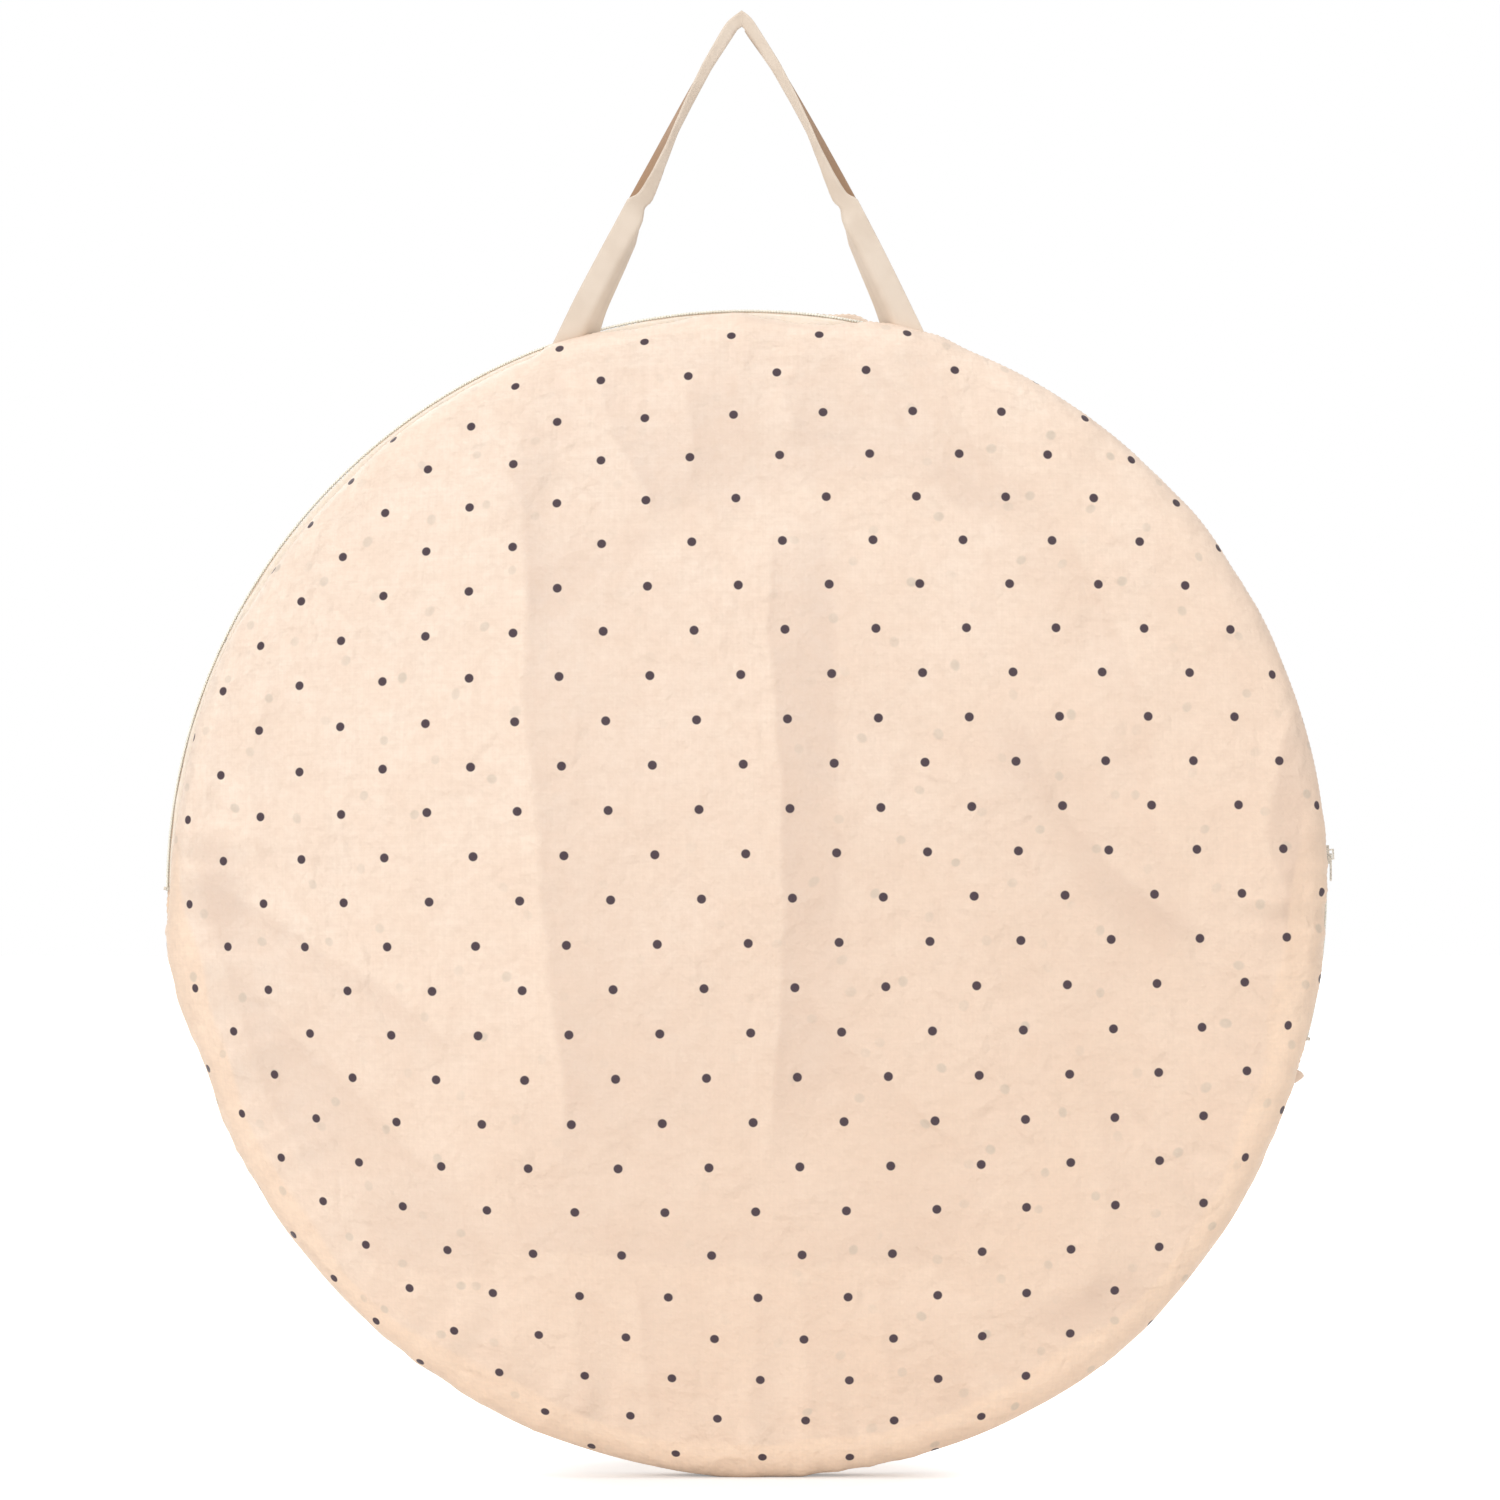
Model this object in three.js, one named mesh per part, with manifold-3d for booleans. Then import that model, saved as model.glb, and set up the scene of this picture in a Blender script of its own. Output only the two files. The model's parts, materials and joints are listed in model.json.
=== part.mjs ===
// A twist-folded pop-up play tent in its round, zipped carry bag, hung up by its webbing handle.
// Millimetres, +X right, +Y to the back of the bag, +Z up. The origin is the hang point, under
// the top of the handle. Round pieces are drawn round the bag's centre: a place there is an
// angle from +X towards +Z, a radius r and a depth y.
import * as THREE from 'three';
import Module from 'manifold-3d';

const wasm = await Module();
wasm.setup();

// ---- Driving sizes ----

const clearance = 0.3; // between pieces that touch
const clothWall = 0.8; // the bag's cloth with its hems and seam allowance

const bagRadius = 280; // bag's centre to the outside of the zip
const bagCentreX = 2.65; // bag's centre, right of the hang point
const handleRise = 141.6; // top of the bag up to the hang point
const shoulderRadius = 7; // rounding between a face and the rim
const shoulderTurns = [0, 30, 60, 90];
const faceDish = 3.2; // how far the middle of a face lies below its rim
const flatMiddleRadius = 190; // the dished middle of a face
const rimShelfWidth = 19; // flat ring of a face that rests on the folded hoops
const shelfSlope = 30; // slope from the dished middle up to that ring
const lowerRimSwells = [
  { at: 214, reach: 34, height: -4.5 }, // drawn in, lower left
  { at: 298, reach: 46, height: 5.3 }, // full, lower right
];

const gridStep = 5; // degrees between the bag's columns
const mouthFrom = -20; // where the two panels' hems part for the zip
const mouthTo = 185;
const mouthBlend = 0.6;
const setbackBlend = 12; // the rim's wall comes out to the full radius over this angle

const zipFrom = -15;
const zipTo = 180;
const zipTapeTail = 3; // tape past the last tooth, degrees
const zipSetback = 4; // rim wall lies this far inside the zip's outside
const coilHeight = 1.5;
const coilHalfWidth = 2;
const chainSlot = 1.2; // between the two coils, for the slider's neck
const tapeWall = 0.6;
const frontTapeMargin = 6; // tape sewn under the hems
const backTapeMargin = 3.5;
const zipStopLength = 1.6;
const stopWall = 0.6;

const sliderAngle = 3.5; // where the slider is parked
const sliderLength = 9;
const sliderPlate = 1;
const sliderRunning = 0.4;
const sliderFlange = 0.7;
const sliderNeckLength = 2.5;
const sliderNeckWidth = 0.5;
const archHalfLength = 2.6;
const archWidth = 1.6;
const archWall = 0.8;
const pullPinRadius = 0.5;
const pullLength = 13;
const pullWidth = 3.6;
const pullWall = 0.8;
const pullHoleRadius = 0.9;

const webbingWidth = 20;
const webbingWall = 1.2;
const slotSpare = 0.4; // room for the webbing between the hem and the zip
const leftFootAngle = 106.9;
const rightFootAngle = 75.3;
const pivotAboveTop = 6; // fold line of the handle, over the top of the bag
const strapLean = 22; // of the webbing at its feet, from upright
const strapBow = 3.8; // each branch bows outwards
const strapTwist = 90; // turned edge-on at the top, to lie over a hook
const twistStart = 3; // length from the fold line before the twist begins
const twistPower = 0.5; // quick at first, then slower
const topHalfSpan = 3.5; // half width of the turn over the hook
const topTurnDrop = 5.3;
const branchSteps = 22;
const turnSteps = 8;
const foldTaper = 5; // webbing thins towards the fold line
const foldTip = 0.1;
const foldGap = 0.5;
const anchorTail = 9; // sewn end of the handle under the front hem
const anchorSeam = 0.5; // hem and sewn end lie this far apart

const hoopNames = ['left_wall', 'right_wall', 'floor'];
const hoopSteps = 24; // straight runs in one loop of wire
const loopsPerHoop = 3;
const wireRadius = 1.1;
const wireSides = 6;
const windingRadius = 2.3; // the three passes of a hoop turn round each other
const wireEndGap = 0.6;
const ferruleLength = 22;
const ferruleBoreGap = 0.25;
const ferruleWall = 0.5;
const firstFerruleAngle = 210;
const ferruleAngleStep = 30;
const sleeveWall = 0.6;
const sleeveSlot = 1.2; // the sleeve's open seam
const sleeveSides = 8;
const foldedWallDepth = 7.8; // one wall of the tent, folded up
const foldedWallReach = 0.85; // full depth out to this share of the hoop's radius

const tabTip = 3.9; // corner of the cloth tab at the closed end of the zip
const leftTabTip = 1.2;
const tabSpan = 1.6; // degrees
const tabCornerAt = 0.5; // the corner's place along the tab
const tabShoulder = 0.3;
const bindingWidth = 8;
const bindingWall = 0.6;
const bindingFrom = 190;
const bindingTo = 335;
const labelWidth = 12;
const labelWall = 0.3;
const labelFrom = 300;
const labelTo = 306;

// ---- Sizes that follow ----

const radians = Math.PI / 180;
const bagCentreZ = -handleRise - bagRadius;
const pivotZ = bagCentreZ + bagRadius + pivotAboveTop;

const ferruleRadius = wireRadius + ferruleBoreGap + ferruleWall;
const sleeveBore = windingRadius + ferruleRadius + clearance;
const sleeveOuter = sleeveBore + sleeveWall;
const hoopPitch = 2 * sleeveOuter + clearance;
const foldedPitch = foldedWallDepth + clearance;
const tentHalfDepth = (hoopPitch * (hoopNames.length - 1)) / 2 + sleeveOuter;
const foldedHalfDepth = (foldedPitch * (hoopNames.length - 1) + foldedWallDepth) / 2;

const bagHalfDepth = tentHalfDepth + clearance + clothWall;
const middleHalfDepth = Math.max(foldedHalfDepth + clearance + clothWall, bagHalfDepth - faceDish);
const wallRadius = bagRadius - zipSetback;
const tapeY = webbingWall / 2 + slotSpare; // front of the zip, just behind the webbing
const hemY = tapeY - clearance; // front hem's edge
const sliderHalfWidth = coilHalfWidth + sliderRunning + sliderFlange;
const zipCentreY = tapeY + tapeWall + sliderRunning + sliderHalfWidth;
const tapeBackY = zipCentreY + sliderHalfWidth + sliderRunning;
const backHemY = tapeBackY + tapeWall + clearance;
const coilInnerR = bagRadius - coilHeight;
const tapeTopR = coilInnerR - clearance;
const anchorOuterR = wallRadius - clothWall - anchorSeam;
const tapeMarginR = anchorOuterR - webbingWall - clearance;
const tentOuterR = tapeMarginR - tapeWall - clearance;
const hoopRadius = tentOuterR - sleeveOuter;

// ---- Helpers ----

const sameWithin = 1e-5; // corners closer than this are one corner, and so are angles
const roundSides = 12; // of a small pin or tube

const place = (angle, r, y) =>
  new THREE.Vector3(r * Math.cos(angle * radians), y, r * Math.sin(angle * radians));

// Joins points that lie in one place, drops faces that close up, and turns the skin to face out.
function closedGeometry(points, faces) {
  const found = new Map();
  const kept = [];
  const index = points.map((p) => {
    const key = p.toArray().map((v) => Math.round(v / sameWithin) + 0).join();
    if (!found.has(key)) found.set(key, kept.push(p) - 1);
    return found.get(key);
  });
  const skin = faces
    .map((face) => face.map((i) => index[i]))
    .filter(([a, b, c]) => a !== b && b !== c && c !== a);
  const volume = skin.reduce((sum, [a, b, c]) => sum + kept[a].dot(kept[b].clone().cross(kept[c])), 0);
  if (volume < 0) skin.forEach((face) => face.reverse());
  const geometry = new THREE.BufferGeometry().setFromPoints(kept);
  geometry.setIndex(skin.flat());
  return geometry;
}

// Triangles over a flat outline, all turned the way that the outline runs.
function outlineFaces(outline) {
  const flat = outline.map(([u, v]) => new THREE.Vector2(u, v));
  const turn = Math.sign(THREE.ShapeUtils.area(flat));
  return THREE.ShapeUtils.triangulateShape(flat, []).map(([a, b, c]) =>
    Math.sign(THREE.ShapeUtils.area([flat[a], flat[b], flat[c]])) === turn ? [a, b, c] : [a, c, b]);
}

// A skin over rings of points. A round one closes on itself; an open one is capped.
function loft(rings, cap) {
  const size = rings[0].length;
  const faces = [];
  const spans = cap ? rings.length - 1 : rings.length;
  for (let i = 0; i < spans; i++) {
    const here = i * size;
    const there = ((i + 1) % rings.length) * size;
    for (let j = 0; j < size; j++) {
      const k = (j + 1) % size;
      faces.push([here + j, here + k, there + k], [here + j, there + k, there + j]);
    }
  }
  if (cap) {
    const last = (rings.length - 1) * size;
    for (const [a, b, c] of cap) faces.push([c, b, a], [last + a, last + b, last + c]);
  }
  return closedGeometry(rings.flat(), faces);
}

// The bag's columns: a regular grid, with one at every place where the rim changes.
const columnAngles = (() => {
  const angles = [mouthFrom, mouthFrom - mouthBlend, mouthTo, mouthTo + mouthBlend,
    zipFrom, zipTo, zipFrom - zipTapeTail, zipTo + zipTapeTail];
  for (let angle = -180; angle < 360; angle += gridStep) angles.push(angle);
  return [...new Set(angles)].sort((a, b) => a - b);
})();

function columnsBetween(from, to) {
  return [from, ...columnAngles.filter((angle) => angle > from + sameWithin && angle < to - sameWithin), to];
}

// Turns an outline of [r, y] points round the bag's centre; the outline may change on the way.
function turned(outlineAt, from, to, angles = columnsBetween(from, to)) {
  const whole = to - from >= 360;
  const kept = whole ? angles.slice(0, -1) : angles;
  const rings = kept.map((angle) => outlineAt(angle).map(([r, y]) => place(angle, r, y)));
  return loft(rings, whole ? null : outlineFaces(outlineAt(from)));
}

const rectangle = (r0, r1, y0, y1) => [[r0, y0], [r1, y0], [r1, y1], [r0, y1]];

function solidOf(geometry) {
  return new wasm.Manifold(new wasm.Mesh({
    numProp: 3,
    vertProperties: geometry.attributes.position.array,
    triVerts: new Uint32Array(geometry.index.array),
  }));
}

function geometryOf(solid) {
  const mesh = solid.getMesh();
  const geometry = new THREE.BufferGeometry();
  geometry.setAttribute('position', new THREE.BufferAttribute(mesh.vertProperties, 3));
  geometry.setIndex(new THREE.BufferAttribute(mesh.triVerts, 1));
  return geometry;
}

// Adds each further geometry to the first.
function joined(first, ...others) {
  return geometryOf(others.reduce((solid, other) => solid.add(solidOf(other)), solidOf(first)));
}

// Joins up the corners of a three.js shape, which are split for its shading.
function welded(geometry) {
  const flat = geometry.index ? geometry.toNonIndexed() : geometry;
  const places = flat.attributes.position;
  const points = [...Array(places.count).keys()].map((i) => new THREE.Vector3().fromBufferAttribute(places, i));
  const faces = [...Array(places.count / 3).keys()].map((i) => [3 * i, 3 * i + 1, 3 * i + 2]);
  return closedGeometry(points, faces);
}

function box(x0, x1, y0, y1, z0, z1) {
  const flat = rectangle(x0, x1, y0, y1);
  const ring = (z) => flat.map(([x, y]) => new THREE.Vector3(x, y, z));
  return loft([ring(z0), ring(z1)], outlineFaces(flat));
}

// A prism from y0 to y1 over an outline of [x, z] points.
function prism(outline, y0, y1) {
  const ring = (y) => outline.map(([x, z]) => new THREE.Vector3(x, y, z));
  return loft([ring(y0), ring(y1)], outlineFaces(outline));
}

const cloth = { color: 0xf6dcc4, roughness: 0.75, metalness: 0 };
const webbing = { color: 0xebdccb, roughness: 0.85, metalness: 0 };
const coilNylon = { color: 0xd8d3c4, roughness: 0.5, metalness: 0 };
const zincPaint = { color: 0xe6dcc8, roughness: 0.35, metalness: 0.4 };
const springSteel = { color: 0x8c8f92, roughness: 0.35, metalness: 1 };

function add(group, name, geometry, look) {
  geometry.computeVertexNormals();
  const mesh = new THREE.Mesh(geometry, new THREE.MeshStandardMaterial(look));
  mesh.name = name;
  group.add(mesh);
  return mesh;
}

// ---- The bag's two panels ----

function smooth(share) {
  const t = Math.min(Math.max(share, 0), 1);
  return t * t * (3 - 2 * t);
}

// Degrees by which an angle lies outside the mouth, 0 within it.
function outsideMouth(angle) {
  const turn = ((angle - mouthFrom) % 360 + 360) % 360;
  const mouth = mouthTo - mouthFrom;
  return turn <= mouth ? 0 : Math.min(turn - mouth, 360 - turn);
}

function rimRadius(angle) {
  const full = ((angle % 360) + 360) % 360;
  const swell = lowerRimSwells.reduce((sum, { at, reach, height }) => {
    const share = Math.abs(full - at) / reach;
    return share < 1 ? sum + height * Math.cos((share * Math.PI) / 2) ** 2 : sum;
  }, 0);
  return wallRadius + zipSetback * smooth(outsideMouth(angle) / setbackBlend) + swell;
}

// One face of the bag and its half of the rim, as a thin shell. side is -1 at the front.
function panelOutline(angle, side, mouthEdge) {
  const rim = rimRadius(angle);
  const seamY = zipCentreY + side * (clearance / 2);
  const edge = THREE.MathUtils.lerp(mouthEdge, seamY, outsideMouth(angle) >= mouthBlend ? 1 : 0);
  const layer = (wall) => {
    const face = side * (bagHalfDepth - wall);
    const bend = shoulderRadius - wall;
    const shoulder = shoulderTurns.map((turn) => [
      rim - shoulderRadius + bend * Math.sin(turn * radians),
      side * (bagHalfDepth - shoulderRadius + bend * Math.cos(turn * radians)),
    ]);
    const shelfStart = wallRadius - shoulderRadius - rimShelfWidth;
    return [
      [0, side * (middleHalfDepth - wall)],
      [Math.min(flatMiddleRadius, shelfStart - shelfSlope), side * (middleHalfDepth - wall)],
      [shelfStart, face],
      ...shoulder,
      [rim - wall, edge],
    ];
  };
  return [...layer(0), ...layer(clothWall).reverse()];
}

// ---- The handle ----

const webbingHalfLevel = webbingWidth / 2 / Math.cos(strapLean * radians); // on a level cut

// Height at which a circle round the bag's centre passes a place across, above the centre.
const heightOn = (radius, x) => Math.sqrt(radius ** 2 - (x - bagCentreX) ** 2) + bagCentreZ;

// Where the middle of the webbing crosses the fold line. side is -1 at the left.
function pivotX(side) {
  const foot = place(side < 0 ? leftFootAngle : rightFootAngle, wallRadius, 0);
  const rise = pivotZ - (foot.z + bagCentreZ);
  return foot.x + bagCentreX - side * rise * Math.tan(strapLean * radians);
}

// Edge of the standing webbing at a height; edge is -1 at its left and 1 at its right.
function standX(side, edge, height, spare = 0) {
  const lean = -side * Math.tan(strapLean * radians);
  return pivotX(side) + (height - pivotZ) * lean + edge * (webbingHalfLevel + spare);
}

const footTries = 8; // each brings the webbing's foot closer to its circle

// Where an edge of the standing webbing meets a circle round the bag's centre, as [x, z].
function standFoot(side, edge, radius, spare = 0) {
  let height = bagCentreZ + radius;
  for (let i = 0; i < footTries; i++) height = heightOn(radius, standX(side, edge, height, spare));
  return [standX(side, edge, height, spare), height];
}

// Webbing that stands up from the seam and thins to its fold line.
function standingWebbing(side) {
  const rootRadius = anchorOuterR - webbingWall / 2;
  const level = ([left, right], half) => [
    new THREE.Vector3(left[0], -half, left[1]), new THREE.Vector3(right[0], -half, right[1]),
    new THREE.Vector3(right[0], half, right[1]), new THREE.Vector3(left[0], half, left[1]),
  ];
  const across = (height) => [-1, 1].map((edge) => [standX(side, edge, height), height]);
  const root = [-1, 1].map((edge) => standFoot(side, edge, rootRadius));
  const end = pivotZ - foldGap / 2;
  const full = webbingWall / 2;
  return loft([level(root, full), level(across(end - foldTaper), full), level(across(end), foldTip)],
    [[0, 1, 2], [0, 2, 3]]);
}

// Sewn end of the webbing: it stands in the mouth and turns forward under the front hem.
function strapAnchor(side) {
  const angles = [1, -1].map((edge) => {
    const [x] = standFoot(side, edge, anchorOuterR);
    return Math.acos((x - bagCentreX) / anchorOuterR) / radians;
  });
  const middle = (angles[0] + angles[1]) / 2;
  const outline = rectangle(anchorOuterR - webbingWall, anchorOuterR, -anchorTail, webbingWall / 2);
  const tail = turned(() => outline, ...angles, [angles[0], middle, angles[1]]);
  return joined(tail.translate(bagCentreX, 0, bagCentreZ), standingWebbing(side));
}

// The slot in the front hem that the webbing stands in.
function hemSlot(side) {
  const room = webbingWall / 2 + clearance;
  const low = [-1, 1].map((edge) => standFoot(side, edge, anchorOuterR, clearance));
  const high = [1, -1].map((edge) => [standX(side, edge, pivotZ, clearance), pivotZ]);
  return prism([...low, ...high], -room, room + webbingWall).translate(-bagCentreX, 0, -bagCentreZ);
}

// Middle line of the free webbing: a bowed branch, a tight turn over the hook, a bowed branch.
function handleStations() {
  const turnTop = topTurnDrop / 2 + webbingWall / 2; // leaves the turn's underside at the origin
  const shoulders = [-1, 1].map((side) => new THREE.Vector3(side * topHalfSpan, 0, turnTop - topTurnDrop));
  const branches = [-1, 1].map((side, i) => {
    const end = new THREE.Vector3(pivotX(side), 0, pivotZ + foldGap / 2);
    const chord = shoulders[i].clone().sub(end).normalize();
    const out = new THREE.Vector3(side * chord.z, 0, -side * chord.x);
    const middle = end.clone().lerp(shoulders[i], 0.5).addScaledVector(out, 2 * strapBow);
    return side < 0 ? new THREE.QuadraticBezierCurve3(end, middle, shoulders[i])
      : new THREE.QuadraticBezierCurve3(shoulders[i], middle, end);
  });
  const turn = new THREE.QuadraticBezierCurve3(shoulders[0], new THREE.Vector3(0, 0, turnTop), shoulders[1]);
  const stations = [];
  for (const [curve, steps] of [[branches[0], branchSteps], [turn, turnSteps], [branches[1], branchSteps]]) {
    for (let i = stations.length ? 1 : 0; i <= steps; i++) {
      stations.push({ point: curve.getPointAt(i / steps), tangent: curve.getTangentAt(i / steps) });
    }
  }
  return stations;
}

// The free webbing, turned edge-on towards the hook and thinned at both fold lines.
function handleWebbing() {
  const stations = handleStations();
  const along = [0];
  for (let i = 1; i < stations.length; i++) {
    along.push(along[i - 1] + stations[i].point.distanceTo(stations[i - 1].point));
  }
  const length = along.at(-1);
  const back = new THREE.Vector3(0, 1, 0);
  const rings = stations.map(({ point, tangent }, i) => {
    const fromEnd = Math.min(along[i], length - along[i]);
    const atEnd = fromEnd === 0;
    const share = Math.max(fromEnd - twistStart, 0) / (length / 2 - twistStart);
    const twist = strapTwist * radians * share ** twistPower;
    const level = new THREE.Vector3().crossVectors(back, tangent).normalize();
    const wide = level.multiplyScalar(Math.cos(twist)).addScaledVector(back, -Math.sin(twist));
    const thick = new THREE.Vector3().crossVectors(tangent, wide).normalize();
    if (atEnd) {
      wide.set(Math.sign(wide.x), 0, 0);
      thick.copy(back).multiplyScalar(Math.sign(thick.y));
    }
    const half = atEnd ? webbingHalfLevel : webbingWidth / 2;
    const depth = THREE.MathUtils.lerp(foldTip, webbingWall / 2, Math.min(fromEnd / foldTaper, 1));
    return [[-1, -1], [1, -1], [1, 1], [-1, 1]].map(([u, v]) =>
      point.clone().addScaledVector(wide, u * half).addScaledVector(thick, v * depth));
  });
  return loft(rings, [[0, 1, 2], [0, 2, 3]]);
}

// ---- The zip ----

// One side of the zip's tape: sewn under the hem, up beside the chain, and under the coil.
function tapeOutline(side) {
  const marginY = side < 0 ? hemY - frontTapeMargin : backHemY + backTapeMargin;
  const riser = side < 0 ? tapeY : tapeBackY + tapeWall;
  const chainEdge = zipCentreY + (side * chainSlot) / 2;
  const innerRiser = riser - side * tapeWall;
  return [
    [tapeMarginR - tapeWall, marginY], [tapeMarginR - tapeWall, innerRiser],
    [tapeTopR - tapeWall, innerRiser], [tapeTopR - tapeWall, chainEdge],
    [tapeTopR, chainEdge], [tapeTopR, riser],
    [tapeMarginR, riser], [tapeMarginR, marginY],
  ];
}

const zipTape = (side) => turned(() => tapeOutline(side), zipFrom - zipTapeTail, zipTo + zipTapeTail);

function zipCoil(side) {
  const y = [zipCentreY + (side * chainSlot) / 2, zipCentreY + side * coilHalfWidth];
  return turned(() => rectangle(coilInnerR, bagRadius, ...y), zipFrom, zipTo);
}

// A staple over both coils, which stops the slider.
function zipStop(angle, direction) {
  const span = zipStopLength / bagRadius / radians;
  const inside = coilHalfWidth + clearance;
  const outside = inside + stopWall;
  const roof = bagRadius + clearance;
  const outline = [
    [coilInnerR, -outside], [roof + stopWall, -outside], [roof + stopWall, outside],
    [coilInnerR, outside], [coilInnerR, inside], [roof, inside], [roof, -inside], [coilInnerR, -inside],
  ].map(([r, y]) => [r, y + zipCentreY]);
  const ends = [angle, angle + direction * span].sort((a, b) => a - b);
  return turned(() => outline, ...ends, ends);
}

const plateOuterX = bagRadius + sliderRunning + sliderPlate;
const pullPinX = plateOuterX + sliderRunning + pullWall / 2;
const archInnerX = pullPinX + pullPinRadius + clearance;

// The slider, with its length along Z and the chain's outside at x = bagRadius.
function zipSlider() {
  const half = sliderLength / 2;
  const wide = (halfWidth) => [zipCentreY - halfWidth, zipCentreY + halfWidth];
  const plateTop = tapeTopR - tapeWall - sliderRunning;
  const overlap = sliderPlate / 2;
  const roofX = plateOuterX - sliderPlate;
  const flange = (side) => {
    const ends = [zipCentreY + side * (sliderHalfWidth - sliderFlange), zipCentreY + side * sliderHalfWidth];
    return box(coilInnerR + clearance, roofX + overlap, Math.min(...ends), Math.max(...ends), -half, half);
  };
  const post = (side) => {
    const ends = [side * (archHalfLength - archWall), side * archHalfLength];
    return box(plateOuterX - overlap, archInnerX + archWall, ...wide(archWidth / 2),
      Math.min(...ends), Math.max(...ends));
  };
  return joined(
    box(roofX, plateOuterX, ...wide(sliderHalfWidth), -half, half),
    box(plateTop - sliderPlate, plateTop, ...wide(sliderHalfWidth), -half, half),
    box(plateTop - overlap, roofX + overlap, ...wide(sliderNeckWidth / 2),
      -half + overlap, -half + overlap + sliderNeckLength),
    flange(-1), flange(1), post(-1), post(1),
    box(archInnerX, archInnerX + archWall, ...wide(archWidth / 2), -archHalfLength, archHalfLength),
  );
}

// The pull hangs from its pin, which is at the local origin and runs along Y.
function zipPull() {
  const half = pullWidth / 2;
  const armInner = archWidth / 2 + sliderRunning;
  const bladeTop = -archHalfLength - clearance - sliderRunning;
  const bladeFoot = half - pullLength;
  const blade = new THREE.Shape();
  blade.moveTo(half, bladeTop).lineTo(-half, bladeTop).lineTo(-half, bladeFoot);
  blade.absarc(0, bladeFoot, half, Math.PI, 2 * Math.PI, false).closePath();
  blade.holes.push(new THREE.Path().absarc(0, bladeFoot, pullHoleRadius, 0, 2 * Math.PI, true));
  const sheet = new THREE.ExtrudeGeometry(blade,
    { depth: pullWall, bevelEnabled: false, curveSegments: roundSides / 2 });
  const axes = [new THREE.Vector3(0, 1, 0), new THREE.Vector3(0, 0, 1), new THREE.Vector3(1, 0, 0)];
  sheet.applyMatrix4(new THREE.Matrix4().makeBasis(...axes)).translate(-pullWall / 2, 0, 0);
  const pin = new THREE.CylinderGeometry(pullPinRadius, pullPinRadius, pullWidth, roundSides);
  const arm = (y0, y1) => box(-pullWall / 2, pullWall / 2, y0, y1, bladeTop - clearance, 0);
  return joined(welded(sheet), welded(pin), arm(-half, -armInner), arm(armInner, half));
}

// A folded tab of cloth over an end of the zip, drawn with its length along Z.
function endTab(tip) {
  const half = (tabSpan / 2) * radians * bagRadius;
  const foot = wallRadius - clothWall;
  const outline = [[foot, -half], [bagRadius, -half], [bagRadius + tip, half * tabCornerAt],
    [bagRadius + tip * tabShoulder, half], [foot, half]];
  return prism(outline, tapeY, backHemY - clearance);
}

// ---- Seam inside the closed part of the rim ----

const innerBand = (depth, wall, y0, y1, from, to) =>
  turned((angle) => rectangle(rimRadius(angle) - depth - wall, rimRadius(angle) - depth, y0, y1), from, to);

const seamBinding = () => innerBand(clothWall + clearance, bindingWall,
  zipCentreY - bindingWidth / 2, zipCentreY + bindingWidth / 2, bindingFrom, bindingTo);

const careLabel = () => innerBand(clothWall + 2 * clearance + bindingWall, labelWall,
  zipCentreY + bindingWidth / 2 - labelWidth, zipCentreY + bindingWidth / 2, labelFrom, labelTo);

// ---- The folded tent ----

const hoopY = (index) => (index - (hoopNames.length - 1) / 2) * hoopPitch;
const hoopTurn = 360 / hoopSteps;

// Outline of one wall of the tent: a folded disc of cloth with an open sleeve round its edge.
function foldedWallOutline(index) {
  const y = hoopY(index);
  const middle = (index - (hoopNames.length - 1) / 2) * foldedPitch;
  const ring = (radius) => [...Array(sleeveSides).keys()].map((i) => {
    const turn = ((i + 0.5) / sleeveSides) * 2 * Math.PI;
    const reach = radius / Math.cos(Math.PI / sleeveSides);
    return [hoopRadius + reach * Math.cos(turn), y + reach * Math.sin(turn)];
  });
  const outside = ring(sleeveOuter);
  const bore = ring(sleeveBore).reverse();
  const reach = foldedWallReach * hoopRadius;
  const half = foldedWallDepth / 2;
  const lip = sleeveSlot / 2;
  return [
    [hoopRadius + sleeveOuter, y + lip], ...outside.slice(0, sleeveSides / 2),
    [reach, middle + half], [0, middle + half], [0, middle - half], [reach, middle - half],
    ...outside.slice(sleeveSides / 2), [hoopRadius + sleeveOuter, y - lip],
    [hoopRadius + sleeveBore, y - lip], ...bore, [hoopRadius + sleeveBore, y + lip],
  ];
}

function foldedWall(index) {
  const angles = [...Array(hoopSteps + 1).keys()].map((i) => i * hoopTurn);
  return turned(() => foldedWallOutline(index), 0, 360, angles);
}

// Corners of a hoop's wire: each turn of the loop also takes it a share of a turn round its pack.
function hoopCorner(index, angle) {
  const winding = (angle / loopsPerHoop) * radians;
  return [hoopRadius + windingRadius * Math.cos(winding), hoopY(index) + windingRadius * Math.sin(winding)];
}

// The run on which the wire's two ends meet, as its two corners.
function meetingRun(index) {
  const start = firstFerruleAngle + index * ferruleAngleStep;
  return [start, start + hoopTurn].map((angle) => ({ angle, at: hoopCorner(index, angle) }));
}

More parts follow.
